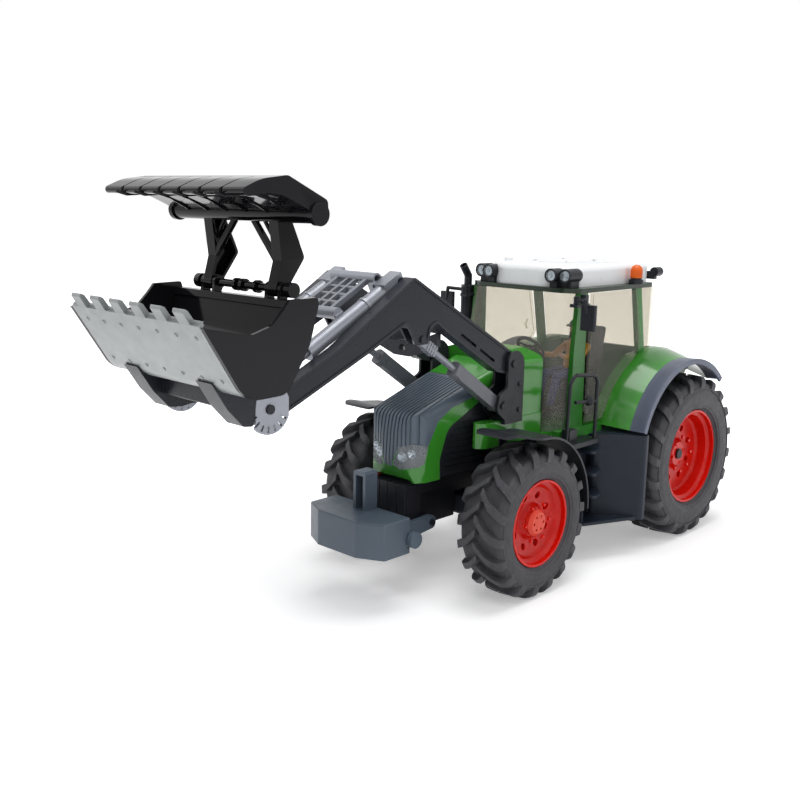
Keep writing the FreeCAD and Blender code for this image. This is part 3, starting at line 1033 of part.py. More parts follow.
pin = cross_rod(*TIP, ARM_IN - GAP - 2.4, DISC_IN + DISC_T + 1.0, PIN_R)
hinge_side = join(half_bracket, pin, lug, tilt_pin)
brackets = join(hinge_side, mirrored(hinge_side), bar)
save("bucket_brackets", brackets.cut([sheet_block, wear_block]))
disc = cross_rod(*TIP, DISC_IN, DISC_IN + DISC_T, DISC_R)
disc = disc.common(side([tip(-12.6, -20), tip(9.4, -20), tip(9.4, 3), tip(5, 20), tip(-12.6, 20)], 0, 80))
for i in range(7):
    angle = math.radians(-150 + 22 * i)
    slot = side([tip(9.0, -0.55), tip(12.4, -0.55), tip(12.4, 0.55), tip(9.0, 0.55)], DISC_IN - 1, DISC_IN + 4)
    slot.rotate(at(0, *TIP), Vector(1, 0, 0), -math.degrees(angle))
    disc = disc.cut(slot)
disc = disc.cut([cross_rod(*TIP, 0, 80, PIN_R), outer_bracket, sheet_block])
save("coupler_discs", *both(disc.cut(bucket_side)))

# --- grapple jaw ---------------------------------------------------------------------
jaw_plate_outline = [
    jaw(-6.4, 36.0), (*jaw(-6.1, 46.0), 3), (*jaw(19.7, 57.7), 5), (*jaw(36.0, 55.6), 30), (*jaw(50.5, 49.4), 2.0),
    (*jaw(44.0, 47.6), 3), (*jaw(26.0, 49.6), 30), (*jaw(8.0, 42.0), 12), (*jaw(0.5, 38.0), 2),
]
jaw_plate = side(jaw_plate_outline, -JAW_TUBE_HALF + 0.6, JAW_TUBE_HALF - 0.6)
tine_pitch = (2 * JAW_TUBE_HALF - 1.2) / TINES
for i in range(1, TINES):
    x = -JAW_TUBE_HALF + 0.6 + i * tine_pitch
    jaw_plate = jaw_plate.cut(plan([(x - TINE_GAP / 2, JAW[0] + 50.6 - TINE_DEPTH, TINE_GAP * 0.45),
                                    (x + TINE_GAP / 2, JAW[0] + 50.6 - TINE_DEPTH, TINE_GAP * 0.45),
                                    (x + TINE_GAP / 2, JAW[0] + 45), (x + 4.2, JAW[0] + 52),
                                    (x - 4.2, JAW[0] + 52), (x - TINE_GAP / 2, JAW[0] + 45)],
                                   JAW[1] + 20, JAW[1] + 80))
for i in range(5):
    x = (i - 2) * 17.0
    jaw_plate = jaw_plate.cut(box(x - 4.2, x + 4.2, JAW[0] - 8, JAW[0] - 2.2, JAW[1] + 42.6, JAW[1] + 45.4))
jaw_tube = join(cross_rod(*jaw(0.0, 39.2), -JAW_TUBE_HALF, JAW_TUBE_HALF, JAW_TUBE_R),
                *both(cross_rod(*jaw(0.0, 39.2), JAW_TUBE_HALF - 2.4, JAW_TUBE_HALF + 0.8, JAW_TUBE_R + 1.0)))
leg_side = [(*jaw(-3.6, 0), 3.6), (*jaw(0.6, -3.6), 2.8), (*jaw(4.0, 1.0), 3), (*jaw(0.2, 14.4), 3),
            jaw(2.8, 35.5), jaw(-5.5, 38.0), (*jaw(-15.4, 16.0), 3)]
leg = join(side(leg_side, LEG_X0, LEG_X1).cut(inset(leg_side, LEG_X0 - 1, LEG_X1 - 2.0, 1.6)),
           cross_rod(*JAW, LEG_X0, LEG_X1, 4.2))
brace = front([(LEG_X0 + 0.5, JAW[1] + 14), (LEG_X0 + 0.5, JAW[1] + 19), (9.5, JAW[1] + 36), (5.5, JAW[1] + 36)],
              JAW[0] - 2.0, JAW[0] + 0.4)
strut = front([(LEG_X0 + 0.5, JAW[1] + 24), (LEG_X0 + 0.5, JAW[1] + 26.5), (17.5, JAW[1] + 36),
               (15.5, JAW[1] + 36)], JAW[0] - 1.6, JAW[0])
shaft = cross_rod(*JAW, -42, 42, JAW_SHAFT_R)
clips = [cross_rod(*JAW, x - 1.2, x + 1.2, JAW_SHAFT_R + 1.3) for x in (-6.0, 0.0, 12.0)]
bosses = both(cross_rod(*JAW, 37.6, 42, 4.0))
save("jaw_plate", jaw_plate.cut([jaw_tube, *both(leg)]))
save("jaw_frame", join(jaw_tube, *both(join(leg, brace, strut)), shaft, *clips, *bosses))
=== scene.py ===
import json
import math
import bpy
import bmesh
from mathutils import Matrix, Vector


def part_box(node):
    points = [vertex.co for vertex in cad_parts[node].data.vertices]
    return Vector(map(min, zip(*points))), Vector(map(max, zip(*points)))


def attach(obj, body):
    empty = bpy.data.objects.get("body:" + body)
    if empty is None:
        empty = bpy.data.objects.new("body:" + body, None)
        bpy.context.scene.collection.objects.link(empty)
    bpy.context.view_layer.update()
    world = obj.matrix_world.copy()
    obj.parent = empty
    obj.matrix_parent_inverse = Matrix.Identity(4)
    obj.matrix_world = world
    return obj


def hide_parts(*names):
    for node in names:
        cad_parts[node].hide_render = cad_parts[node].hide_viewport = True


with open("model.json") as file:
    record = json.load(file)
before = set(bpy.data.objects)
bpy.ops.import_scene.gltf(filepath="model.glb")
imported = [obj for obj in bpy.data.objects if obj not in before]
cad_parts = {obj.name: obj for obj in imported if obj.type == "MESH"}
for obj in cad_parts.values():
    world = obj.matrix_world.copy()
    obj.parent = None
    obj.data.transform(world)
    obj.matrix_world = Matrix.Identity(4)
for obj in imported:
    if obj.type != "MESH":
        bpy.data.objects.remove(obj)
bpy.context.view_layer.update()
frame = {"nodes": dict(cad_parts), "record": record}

NODES = frame["nodes"]
MM = 0.001
SIDES = {"left": 1, "right": -1}
SMOOTH_ANGLE = math.radians(32)     # edges sharper than this stay sharp
WHITE_LIGHT = (1, 1, 1, 1)


# --- where things are, read from the frame --------------------------------------
def middle(node):
    low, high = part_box(node)
    return (low + high) / 2


REAR_HUB = middle("rear_tyre_left")
FRONT_HUB = middle("front_tyre_left")


def at(x, forward, z):
    """Place given in millimetres: across, ahead of the rear axle, above the ground."""
    return Vector((x * MM, REAR_HUB.y - forward * MM, z * MM))


# --- materials -------------------------------------------------------------------
def rgb(red, green, blue):
    """Linear colour of an sRGB colour given in 0..255."""
    values = []
    for value in (red, green, blue):
        share = value / 255
        values.append(share / 12.92 if share <= 0.04045 else ((share + 0.055) / 1.055) ** 2.4)
    return (*values, 1.0)


def new_material(name):
    material = bpy.data.materials.new(name)
    material.use_nodes = True
    tree = material.node_tree
    shader = tree.nodes["Principled BSDF"]
    return material, tree, shader


def noise(tree, scale, detail):
    place = tree.nodes.new("ShaderNodeTexCoord")
    texture = tree.nodes.new("ShaderNodeTexNoise")
    texture.inputs["Scale"].default_value = scale
    texture.inputs["Detail"].default_value = detail
    texture.inputs["Roughness"].default_value = 0.55
    tree.links.new(place.outputs["Object"], texture.inputs["Vector"])
    return texture.outputs["Fac"]


def remap(tree, value, low, high, new_low, new_high):
    node = tree.nodes.new("ShaderNodeMapRange")
    node.inputs["From Min"].default_value = low
    node.inputs["From Max"].default_value = high
    node.inputs["To Min"].default_value = new_low
    node.inputs["To Max"].default_value = new_high
    tree.links.new(value, node.inputs["Value"])
    return node.outputs["Result"]


def mix_colours(tree, share, first, second):
    node = tree.nodes.new("ShaderNodeMix")
    node.data_type = "RGBA"
    tree.links.new(share, node.inputs["Factor"])
    for socket, colour in zip((node.inputs[6], node.inputs[7]), (first, second)):
        if isinstance(colour, tuple):
            socket.default_value = colour
        else:
            tree.links.new(colour, socket)
    return node.outputs[2]


def shade(colour, factor):
    return (*(min(1.0, c * factor) for c in colour[:3]), 1.0)


def round_edges(tree, radius):
    """Normal that softens sharp moulded edges, over a radius in metres."""
    node = tree.nodes.new("ShaderNodeBevel")
    node.samples = 4
    node.inputs["Radius"].default_value = radius
    return node.outputs["Normal"]


GRAIN_DEPTH = 0.0002    # metres


def grain_on(tree, height, strength, edge):
    """Normal of a fine grain on edges softened over a radius in metres."""
    node = tree.nodes.new("ShaderNodeBump")
    node.inputs["Strength"].default_value = strength
    node.inputs["Distance"].default_value = GRAIN_DEPTH
    tree.links.new(height, node.inputs["Height"])
    tree.links.new(round_edges(tree, edge), node.inputs["Normal"])
    return node.outputs["Normal"]


# convex-edge mask: drives the painted edge highlight on moulded plastics, and lighter edges on satin metal
# and tyres
def convex_edges(tree):
    """1 on convex edges, 0 elsewhere, from the surface's pointiness."""
    geometry = tree.nodes.new("ShaderNodeNewGeometry")
    return remap(tree, geometry.outputs["Pointiness"], 0.52, 0.62, 0.0, 1.0)


def set_roughness(tree, shader, scale, detail, low, high):
    """Roughness that drifts between two values over the surface."""
    smear = noise(tree, scale, detail)
    tree.links.new(remap(tree, smear, 0.3, 0.7, low, high), shader.inputs["Roughness"])


def moulded(name, colour, roughness=0.3, variation=0.06, grain=0.02, grain_scale=2600.0,
            coat=0.0, wear=0.12, specular=0.5):
    """Injection-moulded plastic: even colour, faint flow marks, fine grain, softened edges, and a painted
    highlight on convex edges whose strength is wear.
    """
    material, tree, shader = new_material(name)
    cloud = noise(tree, 38.0, 3.0)
    share = remap(tree, cloud, 0.3, 0.7, 0.0, 1.0)
    body = mix_colours(tree, share, shade(colour, 1 - variation), shade(colour, 1 + variation))
    # painted highlight: convex edges lightened in the base colour by wear * 4
    edge_highlighted = mix_colours(tree, convex_edges(tree), body, shade(colour, 1 + wear * 4))
    tree.links.new(edge_highlighted, shader.inputs["Base Color"])
    set_roughness(tree, shader, 120.0, 5.0, roughness * 0.85, roughness * 1.2)
    shader.inputs["Specular IOR Level"].default_value = specular
    shader.inputs["Coat Weight"].default_value = coat
    shader.inputs["Coat Roughness"].default_value = 0.08
    fine = noise(tree, grain_scale, 2.0)
    tree.links.new(grain_on(tree, fine, grain, 0.00035), shader.inputs["Normal"])
    return material


def rubber(name, colour):
    """Tyre rubber: soft black, paler on its convex edges such as the lug edges."""
    material, tree, shader = new_material(name)
    cloud = remap(tree, noise(tree, 55.0, 6.0), 0.35, 0.7, 0.0, 1.0)
    body = mix_colours(tree, cloud, shade(colour, 0.85), shade(colour, 1.3))
    # convex edges paler: 1.9 times the base colour
    paler_edges = mix_colours(tree, convex_edges(tree), body, shade(colour, 1.9))
    tree.links.new(paler_edges, shader.inputs["Base Color"])
    set_roughness(tree, shader, 300.0, 4.0, 0.5, 0.68)
    shader.inputs["Specular IOR Level"].default_value = 0.42
    fine = noise(tree, 1800.0, 3.0)
    tree.links.new(grain_on(tree, fine, 0.10, 0.0005), shader.inputs["Normal"])
    return material


def clear(name, tint, thin, roughness=0.03):
    """Thin clear moulding: see-through with its own tint, and thin is the share of its glossy surface."""
    material, tree, shader = new_material(name)
    output = tree.nodes["Material Output"]
    see_through = tree.nodes.new("ShaderNodeBsdfTransparent")
    see_through.inputs["Color"].default_value = tint
    shader.inputs["Base Color"].default_value = tint
    shader.inputs["Roughness"].default_value = roughness
    shader.inputs["IOR"].default_value = 1.45
    cloud = noise(tree, 90.0, 3.0)
    blend = tree.nodes.new("ShaderNodeMixShader")
    tree.links.new(remap(tree, cloud, 0.3, 0.7, thin * 0.85, thin * 1.15), blend.inputs["Fac"])
    tree.links.new(see_through.outputs["BSDF"], blend.inputs[1])
    tree.links.new(shader.outputs["BSDF"], blend.inputs[2])
    tree.links.new(blend.outputs["Shader"], output.inputs["Surface"])
    return material


def satin_metal(name, colour, roughness, metallic=0.35):
    """Silver-painted plastic with a slight metal flake and lighter convex edges."""
    material, tree, shader = new_material(name)
    flake = remap(tree, noise(tree, 4200.0, 1.0), 0.35, 0.65, 0.0, 1.0)
    body = mix_colours(tree, flake, shade(colour, 0.9), shade(colour, 1.1))
    # convex edges lighter: 1.35 times the base colour
    lighter_edges = mix_colours(tree, convex_edges(tree), body, shade(colour, 1.35))
    tree.links.new(lighter_edges, shader.inputs["Base Color"])
    shader.inputs["Metallic"].default_value = metallic
    set_roughness(tree, shader, 150.0, 5.0, roughness * 0.85, roughness * 1.25)
    tree.links.new(grain_on(tree, noise(tree, 900.0, 3.0), 0.03, 0.0004), shader.inputs["Normal"])
    return material


# wear= sets each plastic's painted edge highlight; the gloss black has the strongest
GREEN = moulded("moulded_green", rgb(46, 116, 34), 0.16, coat=0.25, specular=0.3)
POST_GREEN = moulded("moulded_post_green", rgb(40, 104, 34), 0.24, specular=0.35)
RED = moulded("moulded_red", rgb(204, 18, 5), 0.24, coat=0.08, specular=0.2, wear=0.06)
CORAL = moulded("moulded_coral", rgb(228, 72, 52), 0.34, specular=0.35)
GREY = moulded("moulded_blue_grey", rgb(76, 87, 99), 0.36, grain=0.05, wear=0.08, specular=0.35)
FLARE = moulded("moulded_flare_grey", rgb(84, 90, 106), 0.42, grain=0.05, wear=0.08, specular=0.35)
DARK = moulded("moulded_dark_grey", rgb(31, 33, 38), 0.34, grain=0.06, wear=0.10, specular=0.2)
PANEL = moulded("moulded_panel_grey", rgb(33, 39, 49), 0.38, grain=0.06, wear=0.10, specular=0.2)
LIFT_GREY = moulded("moulded_lift_grey", rgb(88, 90, 96), 0.3, grain=0.04, wear=0.10, specular=0.35)
ANTHRACITE = moulded("moulded_anthracite", rgb(36, 38, 44), 0.30, grain=0.05, specular=0.18)
BLACK = moulded("moulded_gloss_black", rgb(16, 16, 18), 0.08, wear=0.4, specular=0.13)
SEAT = moulded("moulded_seat", rgb(58, 58, 62), 0.6, grain=0.12, grain_scale=1500.0)
WHITE = moulded("moulded_white", rgb(238, 240, 242), 0.3, coat=0.1, variation=0.01, wear=0.0,
                grain=0.0)
SILVER = satin_metal("satin_silver", rgb(128, 131, 139), 0.32)
WEAR = satin_metal("satin_wear_plate", rgb(126, 130, 130), 0.36, 0.3)
TYRE = rubber("tyre_rubber", rgb(56, 56, 60))
GLASS = clear("clear_warm_glass", rgb(238, 236, 231), 0.08)
LENS = clear("clear_lens", rgb(214, 220, 224), 0.25)
BEACON = clear("clear_orange", rgb(250, 120, 20), 0.62, roughness=0.12)


def second_colour(material, share, colour):
    """Mixes a colour into a material's own, by a share over the surface."""
    tree = material.node_tree
    base = tree.nodes["Principled BSDF"].inputs["Base Color"]
    tree.links.new(mix_colours(tree, share, base.links[0].from_socket, colour), base)


POST_TOP = 0.1915       # metres: cab posts and rail are darker above this
HUB_CAP = 0.009         # metres: radius of the pale cap on the front rims


def darker_above(material, height, colour):
    """Gives a material a second colour above a height."""
    tree = material.node_tree
    place = tree.nodes.new("ShaderNodeTexCoord")
    parts = tree.nodes.new("ShaderNodeSeparateXYZ")
    tree.links.new(place.outputs["Object"], parts.inputs["Vector"])
    share = remap(tree, parts.outputs["Z"], height - 0.0004, height + 0.0004, 0.0, 1.0)
    second_colour(material, share, colour)


darker_above(POST_GREEN, POST_TOP, rgb(26, 44, 28))


def wheel_red(name, hub):
    """Rim plastic with a paler hub cap round the wheel's axis."""
    material = RED.copy()
    material.name = name
    tree = material.node_tree
    place = tree.nodes.new("ShaderNodeTexCoord")
    offset = tree.nodes.new("ShaderNodeVectorMath")
    offset.operation = "SUBTRACT"
    offset.inputs[1].default_value = hub
    tree.links.new(place.outputs["Object"], offset.inputs[0])
    across = tree.nodes.new("ShaderNodeVectorMath")
    across.operation = "MULTIPLY"
    across.inputs[1].default_value = (0, 1, 1)
    tree.links.new(offset.outputs["Vector"], across.inputs[0])
    radius = tree.nodes.new("ShaderNodeVectorMath")
    radius.operation = "LENGTH"
    tree.links.new(across.outputs["Vector"], radius.inputs[0])
    cap = remap(tree, radius.outputs["Value"], HUB_CAP - 0.0002, HUB_CAP + 0.0002, 1.0, 0.0)
    second_colour(material, cap, rgb(232, 78, 58))
    return material


# by the record's material slot, and by node where one differs from its slot
FINISH = {
    "green": GREEN, "red": RED, "grey": GREY, "dark": DARK, "tyre": TYRE, "clear": GLASS,
    "white": WHITE, "orange": BEACON, "figure": CORAL, "boom_grey": ANTHRACITE, "silver": SILVER,
    "black": BLACK,
}
SPECIAL = {
    "wear_plate": WEAR, "headlight_lenses": LENS, "work_light_lenses": LENS, "fender_flares": FLARE,
    "tank_panels": PANEL, "seat": SEAT, "bucket_brackets": ANTHRACITE, "cab_frame": POST_GREEN,
    "lift_tubes": LIFT_GREY, "front_rim_left": wheel_red("front_rim_red", FRONT_HUB),
    "front_rim_right": wheel_red("front_rim_red_2", FRONT_HUB),
}


def split_edges(piece):
    split = piece.modifiers.new("split", "EDGE_SPLIT")
    split.split_angle = SMOOTH_ANGLE


def smooth_faces(mesh):
    mesh.polygons.foreach_set("use_smooth", [True] * len(mesh.polygons))


def dress_cad_nodes():
    slots = {entry["node"]: entry["material_slot"] for entry in frame["record"]["subparts"]}
    for name, piece in NODES.items():
        material = SPECIAL.get(name) or FINISH[slots[name]]
        piece.data.materials.clear()
        piece.data.materials.append(material)
        smooth_faces(piece.data)
        weld = piece.modifiers.new("weld", "WELD")
        weld.merge_threshold = 2e-6
        split_edges(piece)


dress_cad_nodes()


# --- mesh helpers -----------------------------------------------------------------
class Moulding:
    """Collects closed mesh forms that share one body, material and name."""

    def __init__(self, name, body, material, slot):
        self.name, self.body, self.material, self.slot = name, body, material, slot
        self.form = bmesh.new()

    def spin(self, origin, axis, profile, steps=32):
        """Turned form: profile is (distance along the axis, radius) in millimetres."""
        turn = Vector(axis).to_track_quat("Z", "Y").to_matrix()
        rings = []
        for along, radius in profile:
            ring = []
            for i in range(steps):
                angle = 2 * math.pi * i / steps
                local = Vector((radius * math.cos(angle), radius * math.sin(angle), along)) * MM
                ring.append(self.form.verts.new(origin + turn @ local))
            rings.append(ring)
        for low, high in zip(rings[:-1], rings[1:]):
            for i in range(steps):
                j = (i + 1) % steps
                self.form.faces.new((low[i], low[j], high[j], high[i]))
        self.form.faces.new(list(reversed(rings[0])))
        self.form.faces.new(rings[-1])
        return self

    def ring(self, origin, axis, radius, thickness, steps=48, sides=10):
        """Torus round an axis, in millimetres."""
        turn = Vector(axis).to_track_quat("Z", "Y").to_matrix()
        loops = []
        for i in range(steps):
            angle = 2 * math.pi * i / steps
            loop = []
            for j in range(sides):
                bend = 2 * math.pi * j / sides
                out = radius + thickness * math.cos(bend)
                up = thickness * math.sin(bend)
                local = Vector((out * math.cos(angle), out * math.sin(angle), up)) * MM
                loop.append(self.form.verts.new(origin + turn @ local))
            loops.append(loop)
        for i in range(steps):
            near, far = loops[i], loops[(i + 1) % steps]
            for j in range(sides):
                k = (j + 1) % sides
                self.form.faces.new((near[j], far[j], far[k], near[k]))
        return self

    def prism(self, low, high):
        """Closed form between two matching outlines of points."""
        bottom = [self.form.verts.new(p) for p in low]
        top = [self.form.verts.new(p) for p in high]
        count = len(bottom)
        for i in range(count):
            j = (i + 1) % count
            self.form.faces.new((bottom[i], bottom[j], top[j], top[i]))
        self.form.faces.new(list(reversed(bottom)))
        self.form.faces.new(top)
        return self

    def block(self, x0, x1, f0, f1, z0, z1):
        """Box between millimetre limits across, forward and up."""
        corners = [(x0, f0), (x1, f0), (x1, f1), (x0, f1)]
        return self.prism([at(x, f, z0) for x, f in corners], [at(x, f, z1) for x, f in corners])

    def mirrored(self):
        """Adds the other side's copy of everything so far."""
        everything = self.form.verts[:] + self.form.edges[:] + self.form.faces[:]
        for item in bmesh.ops.duplicate(self.form, geom=everything)["geom"]:
            if isinstance(item, bmesh.types.BMVert):
                item.co.x = -item.co.x
        return self

    def done(self, bevel=0.0, remesh=0.0, relax=0):
        """Makes the piece; bevel and remesh are millimetres, relax is a count of smoothing steps."""
        bmesh.ops.recalc_face_normals(self.form, faces=self.form.faces)
        mesh = bpy.data.meshes.new(self.name)
        self.form.to_mesh(mesh)
        self.form.free()
        smooth_faces(mesh)
        mesh.materials.append(self.material)
        piece = bpy.data.objects.new(self.name, mesh)
        bpy.context.scene.collection.objects.link(piece)
        if remesh:
            cells = piece.modifiers.new("cells", "REMESH")
            cells.mode = "VOXEL"
            cells.voxel_size = remesh * MM
            cells.use_smooth_shade = True
        if relax:
            ease = piece.modifiers.new("ease", "SMOOTH")
            ease.iterations = relax
        if bevel:
            edge = piece.modifiers.new("edge", "BEVEL")
            edge.width = bevel * MM
            edge.segments = 3
            edge.limit_method = "ANGLE"
            edge.angle_limit = math.radians(35)
        if not remesh:
            split_edges(piece)
        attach(piece, self.body)
        return piece


BOLT = [(0.0, 1.0), (0.55, 1.0), (0.75, 0.82)]      # (along, radius) as shares


def bolt(moulding, origin, axis, radius, height):
    """Six-sided bolt head."""
    profile = [(along * height / BOLT[-1][0], share * radius) for along, share in BOLT]
    moulding.spin(origin, axis, profile, 6)


def circle(count, radius):
    for i in range(count):
        angle = 2 * math.pi * i / count
        yield radius * math.cos(angle), radius * math.sin(angle)


def dome(radius, degrees):
    """(along, radius) points of a ball's outline between two latitudes."""
    return [(radius * math.sin(math.radians(a)), radius * math.cos(math.radians(a))) for a in degrees]


# --- wheels --------------------------------------------------------------------------
# which wheels, wheel nuts, their circle, their size, and where they stand across
WHEELS = (("front", 6, 12.6, 1.3, 75.2), ("rear", 8, 13.5, 1.6, 72.6))


def wheel_details(side, sign):
    """Rings moulded on the tyre walls, and the wheel nuts."""
    out = (sign, 0, 0)
    for where, bolts, ring_r, size, face in WHEELS:
        body = f"{where}_wheel_{side}"
        low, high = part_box(f"{where}_tyre_{side}")
        hub = middle(f"{where}_tyre_{side}")
        outer = (high.x if sign > 0 else -low.x) / MM
        tyre_r = (high.z - low.z) / 2 / MM
        rim_low, rim_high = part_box(f"{where}_rim_{side}")
        rim_r = (rim_high.z - rim_low.z) / 2 / MM
        walls = Moulding(f"{where}_tyre_ribs_{side}", body, TYRE, "tyre")
        for radius, depth in ((rim_r + 3.0, 0.9), (rim_r + 6.2, 0.55), (tyre_r - 9.5, 0.5)):
            inward = 0.6 if radius > rim_r + 4 else 1.5
            centre = Vector((sign * (outer - inward) * MM, hub.y, hub.z))
            walls.ring(centre, out, radius, depth, 72, 8)
        walls.done()
        nuts = Moulding(f"{where}_wheel_nuts_{side}", body, RED, "red")
        for u, v in circle(bolts, ring_r):
            bolt(nuts, Vector((sign * face * MM, hub.y + u * MM, hub.z + v * MM)), out, size, 1.6)
        nuts.done()


def wheels():
    for side, sign in SIDES.items():
        wheel_details(side, sign)


# --- driver ------------------------------------------------------------------------
SKIN = moulded("figure_skin", rgb(226, 168, 128), 0.42, coat=0.1)
JACKET = moulded("figure_jacket", rgb(236, 170, 48), 0.4, coat=0.1)
SHIRT = moulded("figure_shirt", rgb(208, 66, 36), 0.42)
TROUSERS = moulded("figure_trousers", rgb(62, 66, 142), 0.45)
BOOTS = moulded("figure_boots", rgb(40, 34, 30), 0.5)
CAP = moulded("figure_cap", rgb(40, 118, 60), 0.4)


def limb(moulding, start, end, r0, r1):
    """Tapered rounded limb between two places (x, forward, z, millimetres)."""
    first, last = at(*start), at(*end)
    length = (last - first).length / MM
    rounds = [(-across, along) for along, across in dome(r0, (8, 30, 55, 80))]
    tips = [(length + along, across) for along, across in dome(r1, (10, 35, 60, 82))]
    moulding.spin(first, last - first, rounds + tips, 20)


def driver():
    """Seated figure with a plain face, in the space of the driver's solid."""
    made = []
    jacket = Moulding("figure_jacket", "chassis", JACKET, "figure")
    limb(jacket, (0, 47.5, 126), (0, 43, 144), 8.2, 7.4)
    for s in (1, -1):
        limb(jacket, (s * 5.0, 43, 144), (s * 9.6, 43.2, 143.5), 4.2, 3.4)
        limb(jacket, (s * 9.8, 43.2, 143.4), (s * 12.2, 56.5, 136.2), 3.2, 2.7)
        limb(jacket, (s * 12.2, 57.0, 136.0), (s * 9.4, 73, 139.2), 2.6, 2.2)
    made.append(jacket.done(remesh=0.7, relax=6))
    shirt = Moulding("figure_collar", "chassis", SHIRT, "figure")
    limb(shirt, (0, 43.4, 148.5), (0, 43.8, 152.4), 4.0, 3.4)
    made.append(shirt.done(remesh=0.6, relax=3))
    trousers = Moulding("figure_trousers", "chassis", TROUSERS, "figure")
    limb(trousers, (-4, 46.5, 124.6), (4, 46.5, 124.6), 5.6, 5.6)
    for s in (1, -1):
        limb(trousers, (s * 4.6, 47, 124.6), (s * 6.0, 76, 124.4), 4.6, 3.9)
        limb(trousers, (s * 6.0, 76, 124.2), (s * 6.0, 83.5, 103), 3.8, 3.0)
    made.append(trousers.done(remesh=0.7, relax=5))
    boots = Moulding("figure_boots", "chassis", BOOTS, "figure")
    for s in (1, -1):
        limb(boots, (s * 6.0, 83.5, 102), (s * 6.0, 84, 98.8), 3.0, 3.0)
        limb(boots, (s * 6.0, 83, 98.6), (s * 6.4, 90, 98.2), 2.9, 2.5)
    made.append(boots.done(remesh=0.6, relax=4))
    skin = Moulding("figure_head_and_hands", "chassis", SKIN, "figure")
    head = [(along * 1.12, across * 0.94) for along, across in dome(5.6, range(-85, 86, 10))]
    skin.spin(at(0, 44.5, 157.8), (0, 0, 1), head, 24)
    limb(skin, (0, 49.6, 157.2), (0, 50.6, 156.4), 0.9, 0.8)
    for s in (1, -1):
        limb(skin, (s * 5.0, 44.3, 157.4), (s * 5.4, 44.1, 158.8), 0.9, 0.8)
        limb(skin, (s * 9.2, 74.5, 139.6), (s * 8.6, 77.6, 141.0), 2.1, 1.8)
    made.append(skin.done(remesh=0.45, relax=3))
    cap = Moulding("figure_cap", "chassis", CAP, "figure")
    crown = [(5.6 * math.sin(math.radians(a)) * 0.9, 6.0 * math.cos(math.radians(a)))
             for a in range(0, 86, 12)]
    cap.spin(at(0, 44.0, 160.2), (0, 0, 1), [(-0.6, 5.9)] + crown, 28)
    brim = [(-5.2, 47.0), (-4.6, 52.0), (-2.4, 54.6), (2.4, 54.6), (4.6, 52.0), (5.2, 47.0)]
    cap.prism(*([at(x, f, z - (f - 47) * 0.08) for x, f in brim] for z in (160.2, 161.1)))
    made.append(cap.done(bevel=0.25))
    for piece in made:
        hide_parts("driver")


# --- lamps and glass fittings --------------------------------------------------------
CHROME = satin_metal("bright_reflector", rgb(205, 208, 212), 0.12, 0.95)
MIRROR = satin_metal("mirror_face", rgb(190, 198, 206), 0.05, 1.0)


def headlight_reflectors():
    """Two bowls behind each headlight lens."""
    bowls = Moulding("headlight_bowls", "hood", CHROME, "silver")
    wheelbase = (REAR_HUB.y - FRONT_HUB.y) / MM
    bowl = ((0.0, 0.35), (0.9, 0.8), (1.8, 1.0), (2.0, 1.0), (2.0, 0.9), (0.6, 0.3))
    for x, f, z, r in ((9.6, wheelbase + 57.2, 91.5, 3.3), (15.6, wheelbase + 54.6, 94.0, 2.9)):
        bowls.spin(at(x, f, z), (0.25, -1, 0.05), [(along, r * share) for along, share in bowl], 28)
    bowls.mirrored()
    bowls.done()


def roof_lamp_reflectors():
    """Reflector and bulb in each front work light."""
    dots = Moulding("work_light_bulbs", "chassis", CHROME, "silver")
    profile = [(0.0, 3.5), (0.3, 3.4), (0.35, 1.2), (0.9, 0.9)]
    for x, f in ((28.0, 122.0), (37.6, 118.5)):
        dots.spin(at(x, f - 1.45, 203.4), (0, -1, 0), profile, 24)
    dots.mirrored()
    dots.done()


def mirror_faces():
    """Mirror glass on the back of each mirror housing."""
    outline = [(58.6, 123.1), (68.6, 123.6), (68.6, 124.2), (58.6, 124.0)]
    for side, sign in SIDES.items():
        face = Moulding(f"mirror_glass_{side}", f"mirror_{side}", MIRROR, "clear")
        face.prism(*([at(sign * x, f, z) for x, f in outline] for z in (170.0, 184.6)))
        face.done(bevel=0.15)


JAW_HINGE_F, JAW_HINGE_Z = 366.0, 206.6         # millimetres ahead of the rear axle, and up
BUCKET_HINGE_F, BUCKET_HINGE_Z = 381.1, 145.8
ROOF_TOP = 210.0


def jaw_ribs():
    """Thin ribs under the grapple plate, one at each gap between its tines."""
    ribs = Moulding("jaw_plate_ribs", "jaw", BLACK, "black")
    low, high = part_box("jaw_plate")
    under = [(50.0, 48.9), (44.0, 47.4), (35.0, 48.0), (26.0, 48.6), (17.0, 46.2), (8.0, 41.8), (4.4, 39.8)]
    tines = 7
    pitch = (high.x - low.x) / MM / tines
    for i in range(-2, 4):
        x = (i - 0.5) * pitch
        for start, end in zip(under[:-1], under[1:]):
            root, edge = ([at(x + dx, JAW_HINGE_F + f, JAW_HINGE_Z + (z + rise)) for dx, (f, z) in
                           ((-half, start), (half, start), (half, end), (-half, end))]
                          for half, rise in ((0.55, 0.6), (0.4, -0.9)))
            ribs.prism(root, edge)
    ribs.done()


def roof_details():
    """Hatch, drip ribs and screws moulded on the roof."""
    top = ROOF_TOP
    back = (REAR_HUB.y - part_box("roof")[1].y) / MM
    hatch = Moulding("roof_hatch", "chassis", WHITE, "white")
    for grow, z0, z1 in ((0.0, top - 0.6, top + 0.5), (-1.6, top + 0.3, top + 0.9)):
        hatch.block(-17 - grow, 17 + grow, back + 40 - grow, back + 84 + grow, z0, z1)
    for x in (-29, -24.5, 24.5, 29):
        hatch.block(x - 0.9, x + 0.9, back + 22, back + 96, top - 0.5, top + 0.45)
    hatch.block(-8, 8, back + 14, back + 22, top - 0.5, top + 0.7)
    hatch.done(bevel=0.35)
    screws = Moulding("roof_screws", "chassis", SILVER, "silver")
    for x in (-14, 14):
        for f in (back + 44, back + 80):
            bolt(screws, at(x, f, top + 0.8), (0, 0, 1), 1.1, 0.5)
    screws.done()


